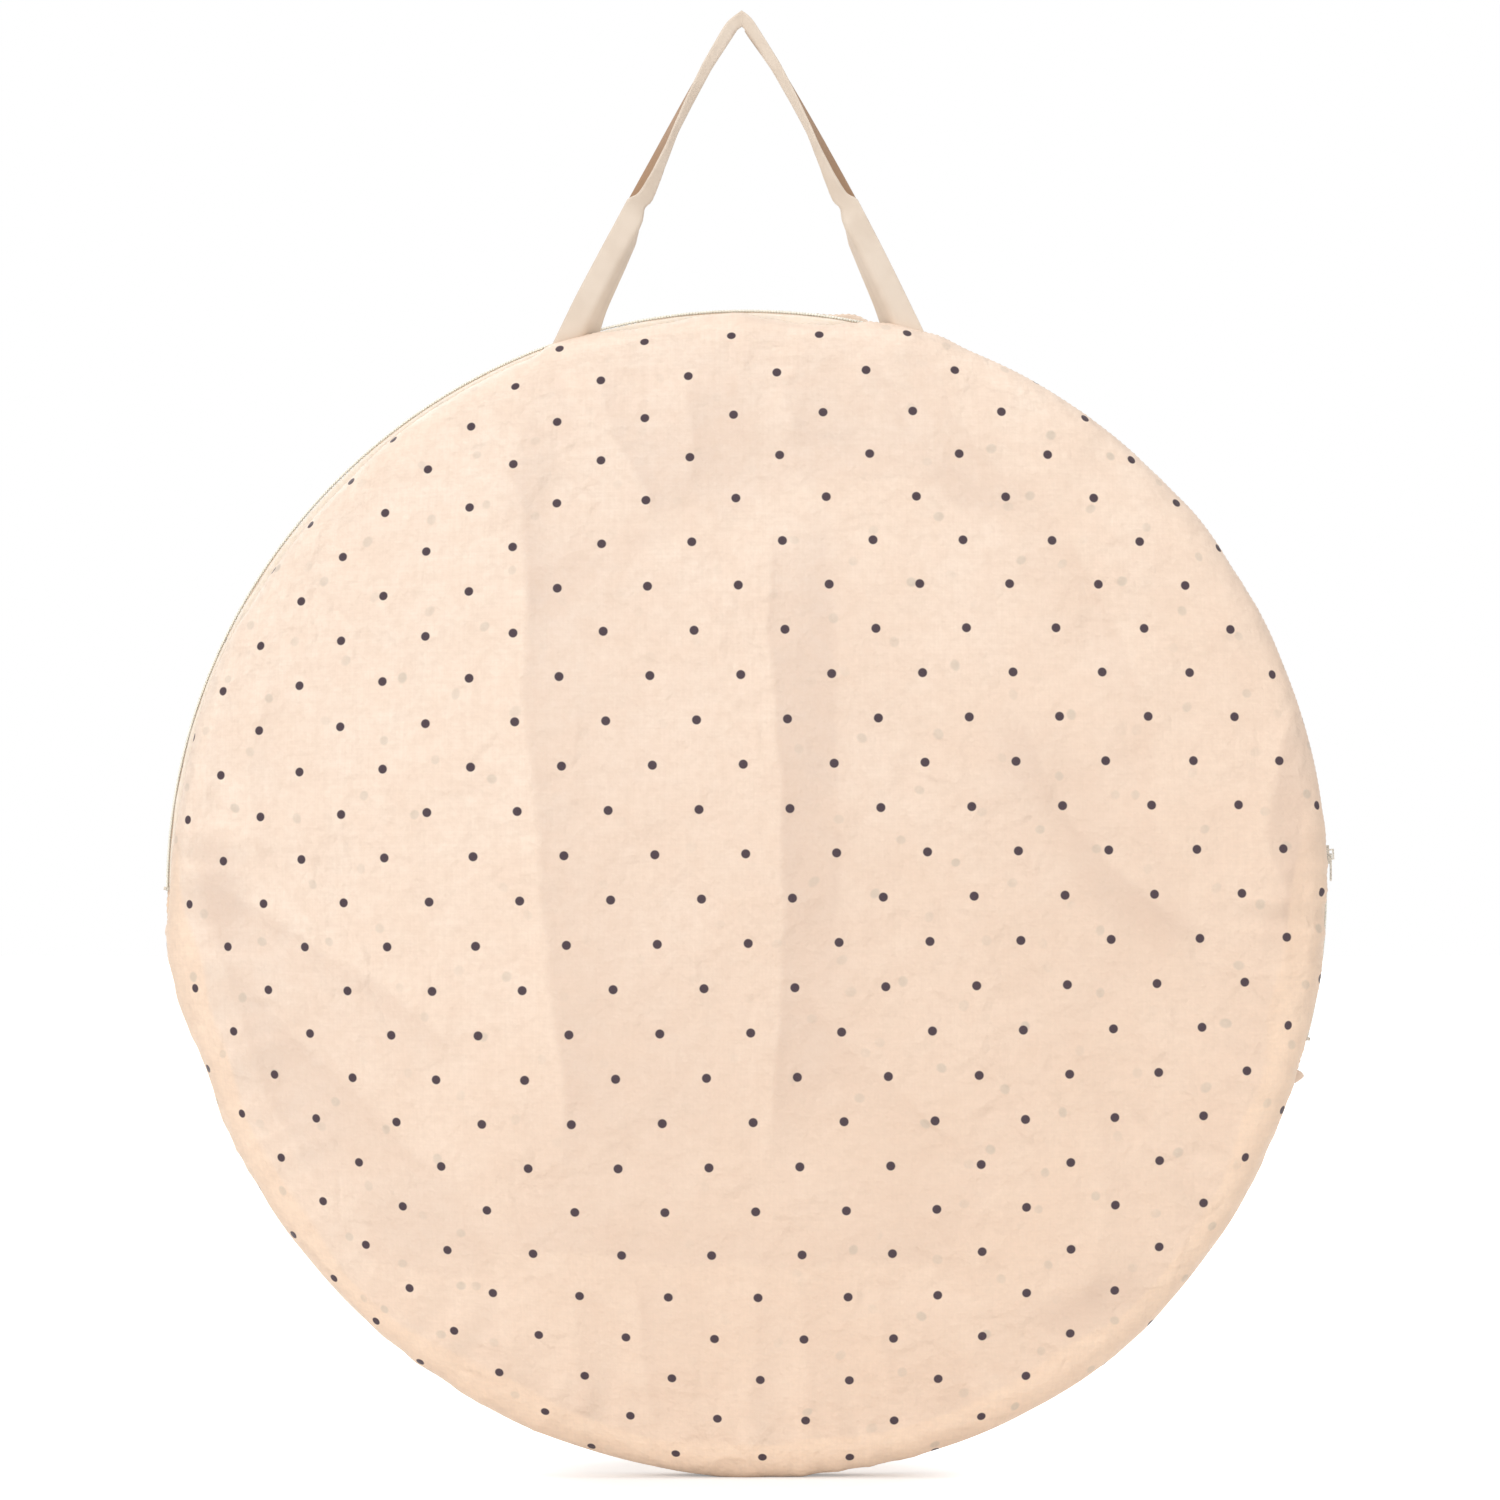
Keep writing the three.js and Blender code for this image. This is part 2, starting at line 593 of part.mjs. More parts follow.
// One length of wire: three loops, its two ends meeting in the middle of a straight run.
function hoopWire(index) {
  const [first, second] = meetingRun(index);
  const section = [...Array(wireSides).keys()].map((i) => {
    const turn = (i / wireSides) * 2 * Math.PI;
    return [wireRadius * Math.cos(turn), wireRadius * Math.sin(turn)];
  });
  const ring = (angle, [r, y]) => section.map(([u, v]) => place(angle, r + u, y + v));
  const corners = [];
  for (let i = 1; i <= hoopSteps * loopsPerHoop; i++) {
    const angle = first.angle + i * hoopTurn;
    corners.push(ring(angle, hoopCorner(index, angle)));
  }
  const [from, to] = [ring(first.angle, first.at), ring(second.angle, second.at)];
  const run = place(second.angle, ...second.at).sub(place(first.angle, ...first.at));
  const pause = run.clone().setLength(wireEndGap / 2);
  const half = (direction) => from.map((p, i) => p.clone().lerp(to[i], 0.5).addScaledVector(pause, direction));
  return loft([half(1), ...corners, half(-1)], outlineFaces(section));
}

// A crimped tube over the two ends of a hoop's wire.
function ferrule(index) {
  const [first, second] = meetingRun(index).map(({ angle, at }) => place(angle, ...at));
  const bore = wireRadius + ferruleBoreGap;
  const half = ferruleLength / 2;
  const outline = [[bore, -half], [ferruleRadius, -half], [ferruleRadius, half], [bore, half], [bore, -half]];
  const tube = welded(new THREE.LatheGeometry(outline.map(([r, y]) => new THREE.Vector2(r, y)), roundSides));
  const run = second.clone().sub(first).normalize();
  tube.applyQuaternion(new THREE.Quaternion().setFromUnitVectors(new THREE.Vector3(0, 1, 0), run));
  const middle = first.lerp(second, 0.5);
  return tube.translate(middle.x, middle.y, middle.z);
}

// Least gap between two loops of one wire, measured at each corner and half way along each run.
function leastWindingGap(index) {
  const middles = [];
  for (let i = 0; i < 2 * hoopSteps * loopsPerHoop; i++) {
    const angle = (i * hoopTurn) / 2;
    middles.push(place(angle, ...hoopCorner(index, angle)));
  }
  const perLoop = 2 * hoopSteps;
  let least = Infinity;
  for (let i = 0; i < middles.length; i++) {
    for (let j = i + perLoop / 2; j < middles.length - perLoop / 2; j++) {
      least = Math.min(least, middles[i].distanceTo(middles[j]) - 2 * wireRadius);
    }
  }
  return least;
}

// ---- The assembly ----

const tent = new THREE.Group();
hoopNames.forEach((name, index) => {
  add(tent, `tent_${name}`, foldedWall(index), cloth);
  add(tent, `${name}_hoop`, hoopWire(index), springSteel);
  add(tent, `${name}_ferrule`, ferrule(index), springSteel);
});

const bag = new THREE.Group();
bag.position.set(bagCentreX, 0, bagCentreZ);
bag.add(tent);
const panel = (side, mouthEdge) =>
  turned((angle) => panelOutline(angle, side, mouthEdge), mouthFrom, mouthFrom + 360);
const slots = solidOf(hemSlot(-1)).add(solidOf(hemSlot(1)));
add(bag, 'bag_front_panel', geometryOf(solidOf(panel(-1, hemY)).subtract(slots)), cloth);
add(bag, 'bag_back_panel', panel(1, backHemY), cloth);
add(bag, 'seam_binding', seamBinding(), cloth);
add(bag, 'care_label', careLabel(), webbing);
add(bag, 'zip_tape_front', zipTape(-1), webbing);
add(bag, 'zip_tape_back', zipTape(1), webbing);
add(bag, 'zip_coil_front', zipCoil(-1), coilNylon);
add(bag, 'zip_coil_back', zipCoil(1), coilNylon);
add(bag, 'zip_stop_right', zipStop(zipFrom, 1), zincPaint);
add(bag, 'zip_stop_left', zipStop(zipTo, -1), zincPaint);

// Turns a piece drawn on +X to its own angle round the bag.
function turnedTo(mesh, angle) {
  mesh.rotation.y = -angle * radians;
}
const tabOffset = zipTapeTail + tabSpan / 2 + clearance / bagRadius / radians;
turnedTo(add(bag, 'zip_end_tab_right', endTab(tabTip), cloth), zipFrom - tabOffset);
turnedTo(add(bag, 'zip_end_tab_left', endTab(leftTabTip), cloth), zipTo + tabOffset);
turnedTo(add(bag, 'zip_slider', zipSlider(), zincPaint), sliderAngle);
add(bag, 'zip_pull', zipPull(), zincPaint).position.copy(place(sliderAngle, pullPinX, zipCentreY));

const top = new THREE.Group();
top.add(bag);
add(top, 'strap_anchor_left', strapAnchor(-1), webbing);
add(top, 'strap_anchor_right', strapAnchor(1), webbing);
add(top, 'handle_strap', handleWebbing(), webbing);

const gaps = hoopNames.map((name, index) => `${name} ${leastWindingGap(index).toFixed(2)} mm`);
console.log(`Least gap between the loops of a hoop: ${gaps.join(', ')}`);

export default top;
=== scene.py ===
"""The looks of a folded pop-up tent in its round dotted carry bag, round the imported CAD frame.

Lengths are in millimetres until a mesh is made, and meshes are in metres. A place on the bag is
given from the bag's centre: across (+X) and up (+Z), or as an angle from +X towards +Z with a radius.
"""

import json
import math

import bpy
import numpy as np
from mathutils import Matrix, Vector


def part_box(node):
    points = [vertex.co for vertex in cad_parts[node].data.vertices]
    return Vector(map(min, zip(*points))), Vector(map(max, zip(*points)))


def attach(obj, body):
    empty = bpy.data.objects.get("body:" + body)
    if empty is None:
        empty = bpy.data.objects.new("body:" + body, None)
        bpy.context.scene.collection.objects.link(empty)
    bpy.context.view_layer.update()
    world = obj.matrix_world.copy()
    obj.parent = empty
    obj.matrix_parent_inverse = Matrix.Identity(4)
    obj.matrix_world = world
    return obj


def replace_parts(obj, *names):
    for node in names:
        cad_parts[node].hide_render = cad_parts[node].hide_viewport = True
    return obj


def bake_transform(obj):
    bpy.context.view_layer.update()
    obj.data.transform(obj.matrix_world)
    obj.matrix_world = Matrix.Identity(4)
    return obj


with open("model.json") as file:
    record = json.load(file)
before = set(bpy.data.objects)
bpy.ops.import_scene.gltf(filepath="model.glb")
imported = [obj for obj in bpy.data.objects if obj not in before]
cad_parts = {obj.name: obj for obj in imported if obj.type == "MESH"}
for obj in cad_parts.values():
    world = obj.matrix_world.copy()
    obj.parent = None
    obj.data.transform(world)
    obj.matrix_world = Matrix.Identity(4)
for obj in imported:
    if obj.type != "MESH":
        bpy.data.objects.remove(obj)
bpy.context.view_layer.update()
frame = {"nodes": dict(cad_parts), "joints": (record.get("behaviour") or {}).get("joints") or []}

MM = 0.001

# ---- Sizes from the frame ----


def corners(node):
    low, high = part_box(node)
    return np.array(low) / MM, np.array(high) / MM


joints = {joint["name"]: joint for joint in frame["joints"]}
centre = np.array(joints["zip_travel"]["pos_m"]) / MM
hub = np.array([centre[0], 0, centre[2]])
fold_z = joints["handle_fold"]["pos_m"][2] / MM
half_depth = -corners("bag_front_panel")[0][1]
coil_front_high, coil_back_low = corners("zip_coil_front")[1], corners("zip_coil_back")[0]
strap_low, strap_high = corners("handle_strap")
seam_y = (coil_front_high[1] + coil_back_low[1]) / 2
zip_radius = coil_front_high[2] - centre[2]
MOUTH_FROM, MOUTH_TO = -20.0, 185.0  # the angles between which the rim has a hem and the zip
HOOPS = ("left_wall", "right_wall", "floor")

# ---- Small helpers ----


def smooth(share):
    share = np.clip(share, 0, 1)
    return share * share * (3 - 2 * share)


def bump(distance, width):
    """1 on a line, falling away over about width to each side."""
    return np.exp(-((distance / width) ** 2))


def heading(degrees):
    """Cosine and sine of an angle in degrees."""
    turn = np.radians(degrees)
    return np.cos(turn), np.sin(turn)


def unit(vectors):
    return vectors / np.linalg.norm(vectors, axis=-1, keepdims=True)


def run_length(places):
    """How far along a line of places each of them lies."""
    return np.concatenate([[0], np.cumsum(np.linalg.norm(np.diff(places, axis=0), axis=1))])


def waves(across, up, size, seed, count=16):
    """Smooth random relief, mostly from -1 to 1, with features about size across."""
    rng = np.random.default_rng(seed)
    total = np.zeros(np.broadcast(across, up).shape)
    for turn, phase, length in zip(
        rng.uniform(0, 2 * math.pi, count),
        rng.uniform(0, 2 * math.pi, count),
        size * rng.uniform(0.7, 1.5, count),
    ):
        along = across * math.cos(turn) + up * math.sin(turn)
        total = total + np.sin(2 * math.pi * along / length + phase)
    return total / math.sqrt(count / 2) / 1.5


def linear(red, green, blue):
    """A colour written as on screen, 0 to 255, as Blender's linear values."""
    share = np.array([red, green, blue]) / 255
    return (*np.where(share <= 0.04045, share / 12.92, ((share + 0.055) / 1.055) ** 2.4), 1.0)


def on_ring(angle, radius, y):
    """Points round the bag's centre: angle in degrees."""
    cos, sin = heading(angle)
    return np.stack(np.broadcast_arrays(centre[0] + radius * cos, y, centre[2] + radius * sin), axis=-1)


def around(table, angle):
    """A value that changes round the rim, smoothly between the angles of a table."""
    at, values = np.array(sorted(table.items())).T
    at = np.concatenate([at[-1:] - 360, at, at[:1] + 360])
    values = np.concatenate([values[-1:], values, values[:1]])
    full = np.mod(angle, 360)
    step = np.clip(np.searchsorted(at, full, side="right") - 1, 0, len(at) - 2)
    share = smooth((full - at[step]) / (at[step + 1] - at[step]))
    return values[step] * (1 - share) + values[step + 1] * share


def grid_faces(rows, columns, closed=True):
    """Quads over a grid of points, and over the seam where its rows close on themselves."""
    i, j = np.meshgrid(np.arange(rows - 1), np.arange(columns if closed else columns - 1), indexing="ij")
    here, beside = i * columns + j, i * columns + (j + 1) % columns
    return np.stack([here, beside, beside + columns, here + columns], axis=-1).reshape(-1, 4)


def rod_faces(rings, columns, closed=True):
    """Quads along a row of rings, and a face over each end."""
    last = (rings - 1) * columns
    ends = [list(range(columns))[::-1], list(range(last, last + columns))]
    return grid_faces(rings, columns, closed).tolist() + ends


def place_object(name, data, place=(0, 0, 0)):
    thing = bpy.data.objects.new(name, data)
    bpy.context.scene.collection.objects.link(thing)
    thing.location = np.array(place) * MM
    return thing


def make_piece(name, points, faces, look, body=None, uv=None, painted_shading_and_tone=None, flip=False):
    """A smooth-shaded mesh piece from points in millimetres, with its cloth coordinates and its painted
    shading and tone.
    """
    mesh = bpy.data.meshes.new(name)
    points = np.asarray(points, float).reshape(-1, 3)
    faces = [list(map(int, face[::-1] if flip else face)) for face in faces]
    mesh.from_pydata((points * MM).tolist(), [], faces)
    mesh.shade_smooth()
    corner = np.empty(len(mesh.loops), dtype=np.int32)
    mesh.loops.foreach_get("vertex_index", corner)
    if uv is not None:
        layer = mesh.uv_layers.new(name="OFBake")
        layer.uv.foreach_set("vector", np.asarray(uv, np.float32).reshape(-1, 2)[corner].ravel())
    if painted_shading_and_tone is not None:
        colours = mesh.color_attributes.new(name="painted_shading_and_tone", type="FLOAT_COLOR", domain="POINT")
        rgba = np.column_stack([np.asarray(painted_shading_and_tone, float).reshape(-1, 3), np.ones(len(points))])
        colours.data.foreach_set("color", rgba.astype(np.float32).ravel())
    mesh.materials.append(look)
    piece = place_object(name, mesh)
    if body:
        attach(piece, body)
    return piece


# ---- Materials ----


class Nodes:
    """Short calls that add nodes to a tree."""

    def __init__(self, owner):
        owner.use_nodes = True
        self.tree = owner.node_tree

    def feed(self, socket, value):
        if isinstance(value, bpy.types.NodeSocket):
            self.tree.links.new(value, socket)
        else:
            socket.default_value = value

    def node(self, kind, values, **settings):
        node = self.tree.nodes.new("ShaderNode" + kind)
        for key, value in settings.items():
            setattr(node, key, value)
        for socket, value in values.items():
            self.feed(node.inputs[socket], value)
        return node

    def math(self, operation, *values):
        return self.node("Math", dict(enumerate(values)), operation=operation).outputs[0]

    def vector(self, operation, *values):
        node = self.node("VectorMath", dict(enumerate(values)), operation=operation)
        return node.outputs["Value" if operation in ("LENGTH", "DOT_PRODUCT") else "Vector"]

    def mix(self, share, a, b, blend="MIX"):
        node = self.node("Mix", {0: share, 6: a, 7: b}, data_type="RGBA", blend_type=blend)
        return node.outputs[2]

    def noise(self, place, scale, detail=2.0, rough=0.5):
        values = {"Vector": place, "Scale": scale, "Detail": detail, "Roughness": rough}
        return self.node("TexNoise", values).outputs[0]

    def between(self, value, low, high, to_low=0.0, to_high=1.0, kind="SMOOTHSTEP"):
        values = {0: value, 1: low, 2: high, 3: to_low, 4: to_high}
        return self.node("MapRange", values, interpolation_type=kind).outputs[0]

    def directly_seen(self):
        """1 for what the camera or a reflection sees, 0 for light that falls on other things."""
        path = self.node("LightPath", {}).outputs
        return self.math("MAXIMUM", path["Is Camera Ray"], path["Is Glossy Ray"])


class Look(Nodes):
    """A material on a Principled shader."""

    def __init__(self, name, roughness, **settings):
        self.material = bpy.data.materials.new(name)
        super().__init__(self.material)
        self.shader = self.tree.nodes["Principled BSDF"]
        self.shader.inputs["Roughness"].default_value = roughness
        for socket, value in settings.items():
            self.shader.inputs[socket.replace("_", " ")].default_value = value

    def stain(self, base, colour, value, low, high, to_low=0.0, to_high=1.0, kind="SMOOTHSTEP"):
        """The base with a share of a colour, from 0 to 255, that follows a value."""
        return self.mix(self.between(value, low, high, to_low, to_high, kind), base, linear(*colour))

    def with_painted_shading(self, base):
        """The base, times the painted light and shade that each point of the mesh carries."""
        painted_shading_and_tone = self.node("VertexColor", {}, layer_name="painted_shading_and_tone").outputs[0]
        return self.mix(1.0, base, painted_shading_and_tone, "MULTIPLY")

    def roughen(self, value, low, high):
        """Roughness from low to high over the middle range of a noise."""
        self.feed(self.shader.inputs["Roughness"], self.between(value, 0.3, 0.7, low, high, "LINEAR"))

    def on_piece(self):
        return self.node("TexCoord", {}).outputs["Object"]

    def cloth_place(self, span):
        """Where a point lies on the flat cloth, in millimetres, on a map that is span wide."""
        uv = self.node("UVMap", {}, uv_map="OFBake").outputs[0]
        return self.vector("MULTIPLY", self.vector("SUBTRACT", uv, (0.5, 0.5, 0)), (span, span, 0))

    def wave(self, value, pitch):
        """A sine of a length in millimetres."""
        return self.math("SINE", self.math("MULTIPLY", value, 2 * math.pi / pitch))

    def threads(self, warp, weft):
        """Height of crossing threads, from 0 to 1, from two waves."""
        return self.math("MULTIPLY_ADD", self.math("MULTIPLY", warp, weft), 0.5, 0.5)

    def dots(self, place, sides, spot, radius, blur):
        """1 inside round dots on a lattice with two sides and a dot on the spot, 0 between them."""
        (ax, ay), (bx, by) = sides
        twist = ax * by - ay * bx
        near = None
        shifted = self.vector("SUBTRACT", place, (*spot, 0))
        for side, across in (((ax, ay), (by, -bx)), ((bx, by), (-ay, ax))):
            steps = self.vector("DOT_PRODUCT", shifted, (across[0] / twist, across[1] / twist, 0))
            spare = self.math("SUBTRACT", self.math("FRACT", self.math("ADD", steps, 0.5)), 0.5)
            part = self.vector("MULTIPLY", spare, (*side, 0))
            near = part if near is None else self.vector("ADD", near, part)
        return self.between(self.vector("LENGTH", near), radius + blur, radius - blur)

    def bumps(self, *heights):
        """Reliefs as (height, distance in metres), laid on each other and fed to the shader."""
        normal = None
        for height, distance in heights:
            values = {"Height": height, "Distance": distance}
            if normal is not None:
                values["Normal"] = normal
            normal = self.node("Bump", values).outputs[0]
        self.feed(self.shader.inputs["Normal"], normal)

    def colour(self, value):
        self.feed(self.shader.inputs["Base Color"], value)


CREAM_RGB = (253, 232, 213)
CREAM = linear(*CREAM_RGB)
SHADED_RGB = (230, 204, 182)  # between the cloth's thicker threads
DOT, DOT_WORN_RGB = linear(72, 58, 64), (92, 76, 82)
# painted see-through shade of the dots on the folded layers behind the cloth
GHOST_SHADE = linear(196, 184, 168)

DOT_SIDES = ((22.4, -21.26), (21.21, 21.73))  # the printed lattice, in millimetres
DOT_RADIUS = 2.2
GHOST_RADIUS = 2.3
CLOTH_SPAN = 680.0  # the cloth map is this wide, in millimetres of flat cloth
NARROW_SPAN = 1000.0  # the map of webbing and tape, likewise
BARE_X, BARE_HALF = -43, (50, 85)  # the upright band where fewer ghosts show, fading at its sides


def turned(sides, degrees):
    c, s = heading(degrees)
    return [(x * c - y * s, x * s + y * c) for x, y in sides]


def add_painted_ghosts(look, base, place, bent, ghosts, bare_middle):
    """The base with painted see-through shade of the dots of the folded layers behind, which show in
    patches.
    """
    aside = look.math("ADD", look.node("SeparateXYZ", {0: place}).outputs[0], -BARE_X)
    sides = look.between(look.math("ABSOLUTE", aside), *BARE_HALF, 1 - bare_middle, 1)
    taken = None
    for degrees, spot, strength, seed in ghosts:
        behind = look.dots(bent, turned(DOT_SIDES, degrees), spot, GHOST_RADIUS, 0.7)
        patch = look.noise(look.vector("ADD", place, (seed, -seed, 0)), 0.009, detail=1.0)
        shown = look.between(patch, 0.43, 0.5)
        if taken is not None:
            shown = look.math("MULTIPLY", shown, look.math("SUBTRACT", 1.0, taken))
        taken = shown
        fading = look.noise(look.vector("ADD", place, (-seed, seed, 0)), 0.03)
        strong = look.between(fading, 0.3, 0.65, 0.3 * strength, strength)
        shown = look.math("MULTIPLY", shown, sides)
        base = look.mix(look.math("MULTIPLY", look.math("MULTIPLY", behind, strong), shown), base, GHOST_SHADE)
    return base


def dotted_cloth(name, first_dot, ghosts=(), bare_middle=0.0, with_painted_shading=True):
    """Thin dotted taffeta. ghosts are the dots of the folded layers behind, painted as shade seen
    through it.
    """
    look = Look(name, 0.6, Sheen_Weight=0.1, Sheen_Roughness=0.4, Specular_IOR_Level=0.3)
    place = look.cloth_place(CLOTH_SPAN)
    base = look.with_painted_shading(CREAM) if with_painted_shading else CREAM
    base = look.stain(base, (238, 204, 176), look.noise(place, 0.022), 0.35, 0.65, 0.0, 0.10)
    patches = look.noise(look.vector("ADD", place, (90, 40, 0)), 0.07, rough=0.6)
    base = look.stain(base, (236, 205, 182), patches, 0.38, 0.62, 0.0, 0.17)
    warp, weft = (
        look.noise(look.vector("MULTIPLY", place, scale), 1.0, detail=3.0, rough=0.7)
        for scale in ((0.03, 0.8, 0), (0.8, 0.03, 0))
    )
    base = look.stain(base, SHADED_RGB, look.math("ADD", warp, weft), 0.8, 1.2, 0.22, 0.0, "LINEAR")
    base = look.stain(base, SHADED_RGB, look.noise(place, 0.22, 3.0, 0.65), 0.36, 0.6, 0.22, 0.0)
    bend = look.node("TexNoise", {"Vector": place, "Scale": 0.007, "Detail": 1.0}).outputs["Color"]
    bent = look.vector("MULTIPLY_ADD", bend, (34, 34, 0), place)
    base = add_painted_ghosts(look, base, place, bent, ghosts, bare_middle)
    ink = look.stain(DOT, DOT_WORN_RGB, look.noise(place, 1.6), 0.35, 0.7, 0, 0.35)
    look.colour(look.mix(look.dots(place, DOT_SIDES, first_dot, DOT_RADIUS, 0.3), base, ink))
    crumple = look.noise(place, 0.05, detail=4.0, rough=0.55)
    facets, network = (
        look.node("TexVoronoi", {"Vector": bent, "Scale": scale}, feature=feature).outputs[0]
        for scale, feature in ((0.022, "SMOOTH_F1"), (0.045, "DISTANCE_TO_EDGE"))
    )
    rumpled = look.between(look.noise(place, 0.012), 0.4, 0.6)
    folds = look.math("MULTIPLY", look.between(network, 0.0, 0.2, 1.0, 0.0), rumpled)
    turns = look.node("SeparateXYZ", {0: look.vector("MULTIPLY", place, (4 * math.pi, 4 * math.pi, 0))})
    weave = look.threads(*(look.math("SINE", turns.outputs[k]) for k in (0, 1)))
    look.bumps(
        (facets, 2.0 * MM), (folds, 0.5 * MM), (crumple, 3.6 * MM),
        (look.noise(place, 0.35), 0.07 * MM), (weave, 0.02 * MM),
    )
    look.roughen(crumple, 0.54, 0.66)
    return look.material


def webbing_look():
    """Flat cotton webbing: fine cross ribs in a twill, with firmer edges."""
    look = Look("webbing", 0.8, Sheen_Weight=0.15, Sheen_Roughness=0.5, Specular_IOR_Level=0.25)
    place = look.cloth_place(NARROW_SPAN)
    along, across = look.node("SeparateXYZ", {0: place}).outputs[:2]
    rib = look.wave(look.math("MULTIPLY_ADD", across, 0.55, along), 0.9)
    threads = look.threads(rib, look.wave(across, 0.8))
    fibres = look.noise(look.vector("MULTIPLY", place, (2.5, 9.0, 0)), 1.0, detail=3.0, rough=0.6)
    base = look.stain(linear(230, 214, 197), (223, 206, 188), look.noise(place, 0.06), 0.35, 0.7)
    base = look.stain(base, (205, 184, 162), threads, 0.0, 0.5, 0.05, 0)
    base = look.stain(base, (214, 196, 176), fibres, 0.4, 0.7, 0, 0.08)
    look.colour(look.with_painted_shading(base))
    look.bumps((threads, 0.007 * MM), (fibres, 0.003 * MM))
    look.roughen(fibres, 0.74, 0.88)
    return look.material


def tape_look():
    """Zip tape: a close flat weave with a faint herringbone."""
    look = Look("zip_tape", 0.78, Specular_IOR_Level=0.3)
    place = look.cloth_place(NARROW_SPAN)
    along, across = look.node("SeparateXYZ", {0: place}).outputs[:2]
    slant = look.math("ADD", along, look.math("PINGPONG", across, 1.2))
    rib = look.math("MULTIPLY_ADD", look.wave(slant, 0.6), 0.5, 0.5)
    base = look.stain(linear(254, 242, 228), (250, 236, 218), look.noise(place, 0.3, 3.0), 0.3, 0.7)
    look.colour(look.stain(base, (232, 216, 194), rib, 0.0, 0.4, 0.15, 0))
    look.bumps((rib, 0.05 * MM))
    return look.material


def painted_metal_look():
    """Zinc under cream paint, rubbed on its edges."""
    look = Look("zip_metal", 0.35, Metallic=0.0, Coat_Weight=0.3, Coat_Roughness=0.2)
    pits = look.noise(look.on_piece(), 1400.0, 3.0)
    edge = look.node("NewGeometry", {}).outputs["Pointiness"]
    rubbed = look.math("MULTIPLY", look.between(edge, 0.52, 0.6), look.between(pits, 0.4, 0.6))
    look.colour(look.mix(rubbed, linear(248, 240, 226), linear(196, 188, 174)))
    look.roughen(pits, 0.28, 0.45)
    look.bumps((pits, 0.02 * MM))
    return look.material


def plain_look(name, grain, pale, deep, rough, relief=None, **settings):
    """A material that a fine grain, as (scale, detail), varies between two colours. rough is its
    roughness, then the range over which the grain varies that too."""
    look = Look(name, rough[0], **settings)
    fleck = look.noise(look.on_piece(), *grain)
    look.colour(look.stain(linear(*pale), deep, fleck, 0.3, 0.7))
    if rough[1:]:
        look.roughen(fleck, *rough[1:])
    if relief:
        look.bumps((fleck, relief * MM))
    return look.material


def steel_look(name, colour, rough):
    worn = [c - 22 for c in colour]
    rough_span = (rough, rough - 0.06, rough + 0.1)
    return plain_look(name, (500.0, 3.0), colour, worn, rough_span, 0.02, Metallic=1.0)


FRONT_GHOSTS = [(24, (7, 3), 0.5, 40), (58, (-4, 11), 0.42, 230)]
BACK_GHOSTS = [(41, (2, 9), 0.5, 120), (-25, (-9, 5), 0.42, 350)]
FRONT_CLOTH = dotted_cloth("bag_cloth_front", (-0.4, 17.7), FRONT_GHOSTS, 0.8)
BACK_CLOTH = dotted_cloth("bag_cloth_back", (9.0, -4.0), BACK_GHOSTS, 0.5)
TENT_CLOTH = dotted_cloth("tent_cloth", (3.0, 5.0), with_painted_shading=False)
WEBBING = webbing_look()
TAPE = tape_look()
NYLON = plain_look(
    "zip_coil", (900.0, 2.0), (252, 250, 240), (244, 242, 230), (0.38, 0.32, 0.46),
    Specular_IOR_Level=0.5,
)
PAINTED = painted_metal_look()
SPRING_STEEL = steel_look("spring_steel", (150, 152, 156), 0.36)
FERRULE_STEEL = steel_look("ferrule_steel", (186, 188, 190), 0.3)
THREAD = plain_look(
    "thread", (2500.0, 2.0), (240, 222, 200), (222, 200, 174), (0.6,), 0.03, Sheen_Weight=0.1
)

# ---- The bag's two panels ----

COLUMNS = 720  # points in each ring of a face
DISH, DISH_FROM, DISH_WIDTH = 3.2, 185, 62  # how deep the middle lies, and where it rises
MIDDLE_DEPTH = half_depth - DISH
FRONT_HEM, BACK_HEM = 0.6, 9.4  # depth of each hem's edge beside the zip
SEAM_GAP = 0.15  # from the lower seam's middle to each face's edge
SEAM_JOIN = 5  # the length of rim over which both faces come to one radius at the seam
FRONT_ROLL_END, BACK_WALL = 3.2, 0.6  # depth where the front's round edge ends; the back's flat wall
FULL_REACH, ROLL_SPAN = 280, (7, 12)  # the round edge is narrower where the rim is drawn in
HEM_FOLD = [(0.5, -0.25), (1.2, 0.3), (1.4, 4.0), (1.3, 8.0)]  # inward and back from the hem's edge
# Beside the zip the hem turns in and runs down to the tape: share of the way, and back from the edge.
HEM_FACING = [(0.0, -0.25), (0.12, 0.1), (0.5, 0.3), (1.0, 0.5)]
FACING_DEPTH, FACING_DIP = 6.7, 2.3 / 1.8  # how far down, and how much less for each mm of HEM_DIP

# How far out the front cloth's rim lies, as angle: radius. The photograph shows the zip past it at
# the upper left and in two gaps beside the handle's feet; each foot pulls the cloth up.
FRONT_REACH = {
    -16: 278.6, 0: 279.4, 14: 280.2, 34: 280.6, 58: 280.2, 68: 280.4, 71.6: 281.4, 75.4: 280.8,
    77.6: 279.6, 79.4: 277.4, 81.9: 274.6, 84.8: 273.4, 87.8: 274.8, 90.8: 277.2, 93.7: 276.8,
    97.6: 276.0, 101.2: 275.6, 103.6: 276.8, 105: 278.2, 109.6: 279.2, 112.4: 276.2, 118: 275.2,
    150: 275.0, 170: 275.6, 178: 277.4, 186: 279.8, 190: 279.2, 198: 273.6, 205: 274.4, 216: 275.4,
    234: 276.8, 250: 279.6, 270: 281.8, 297: 285.2, 312: 284.6, 324: 282.6, 336: 279.2,
}
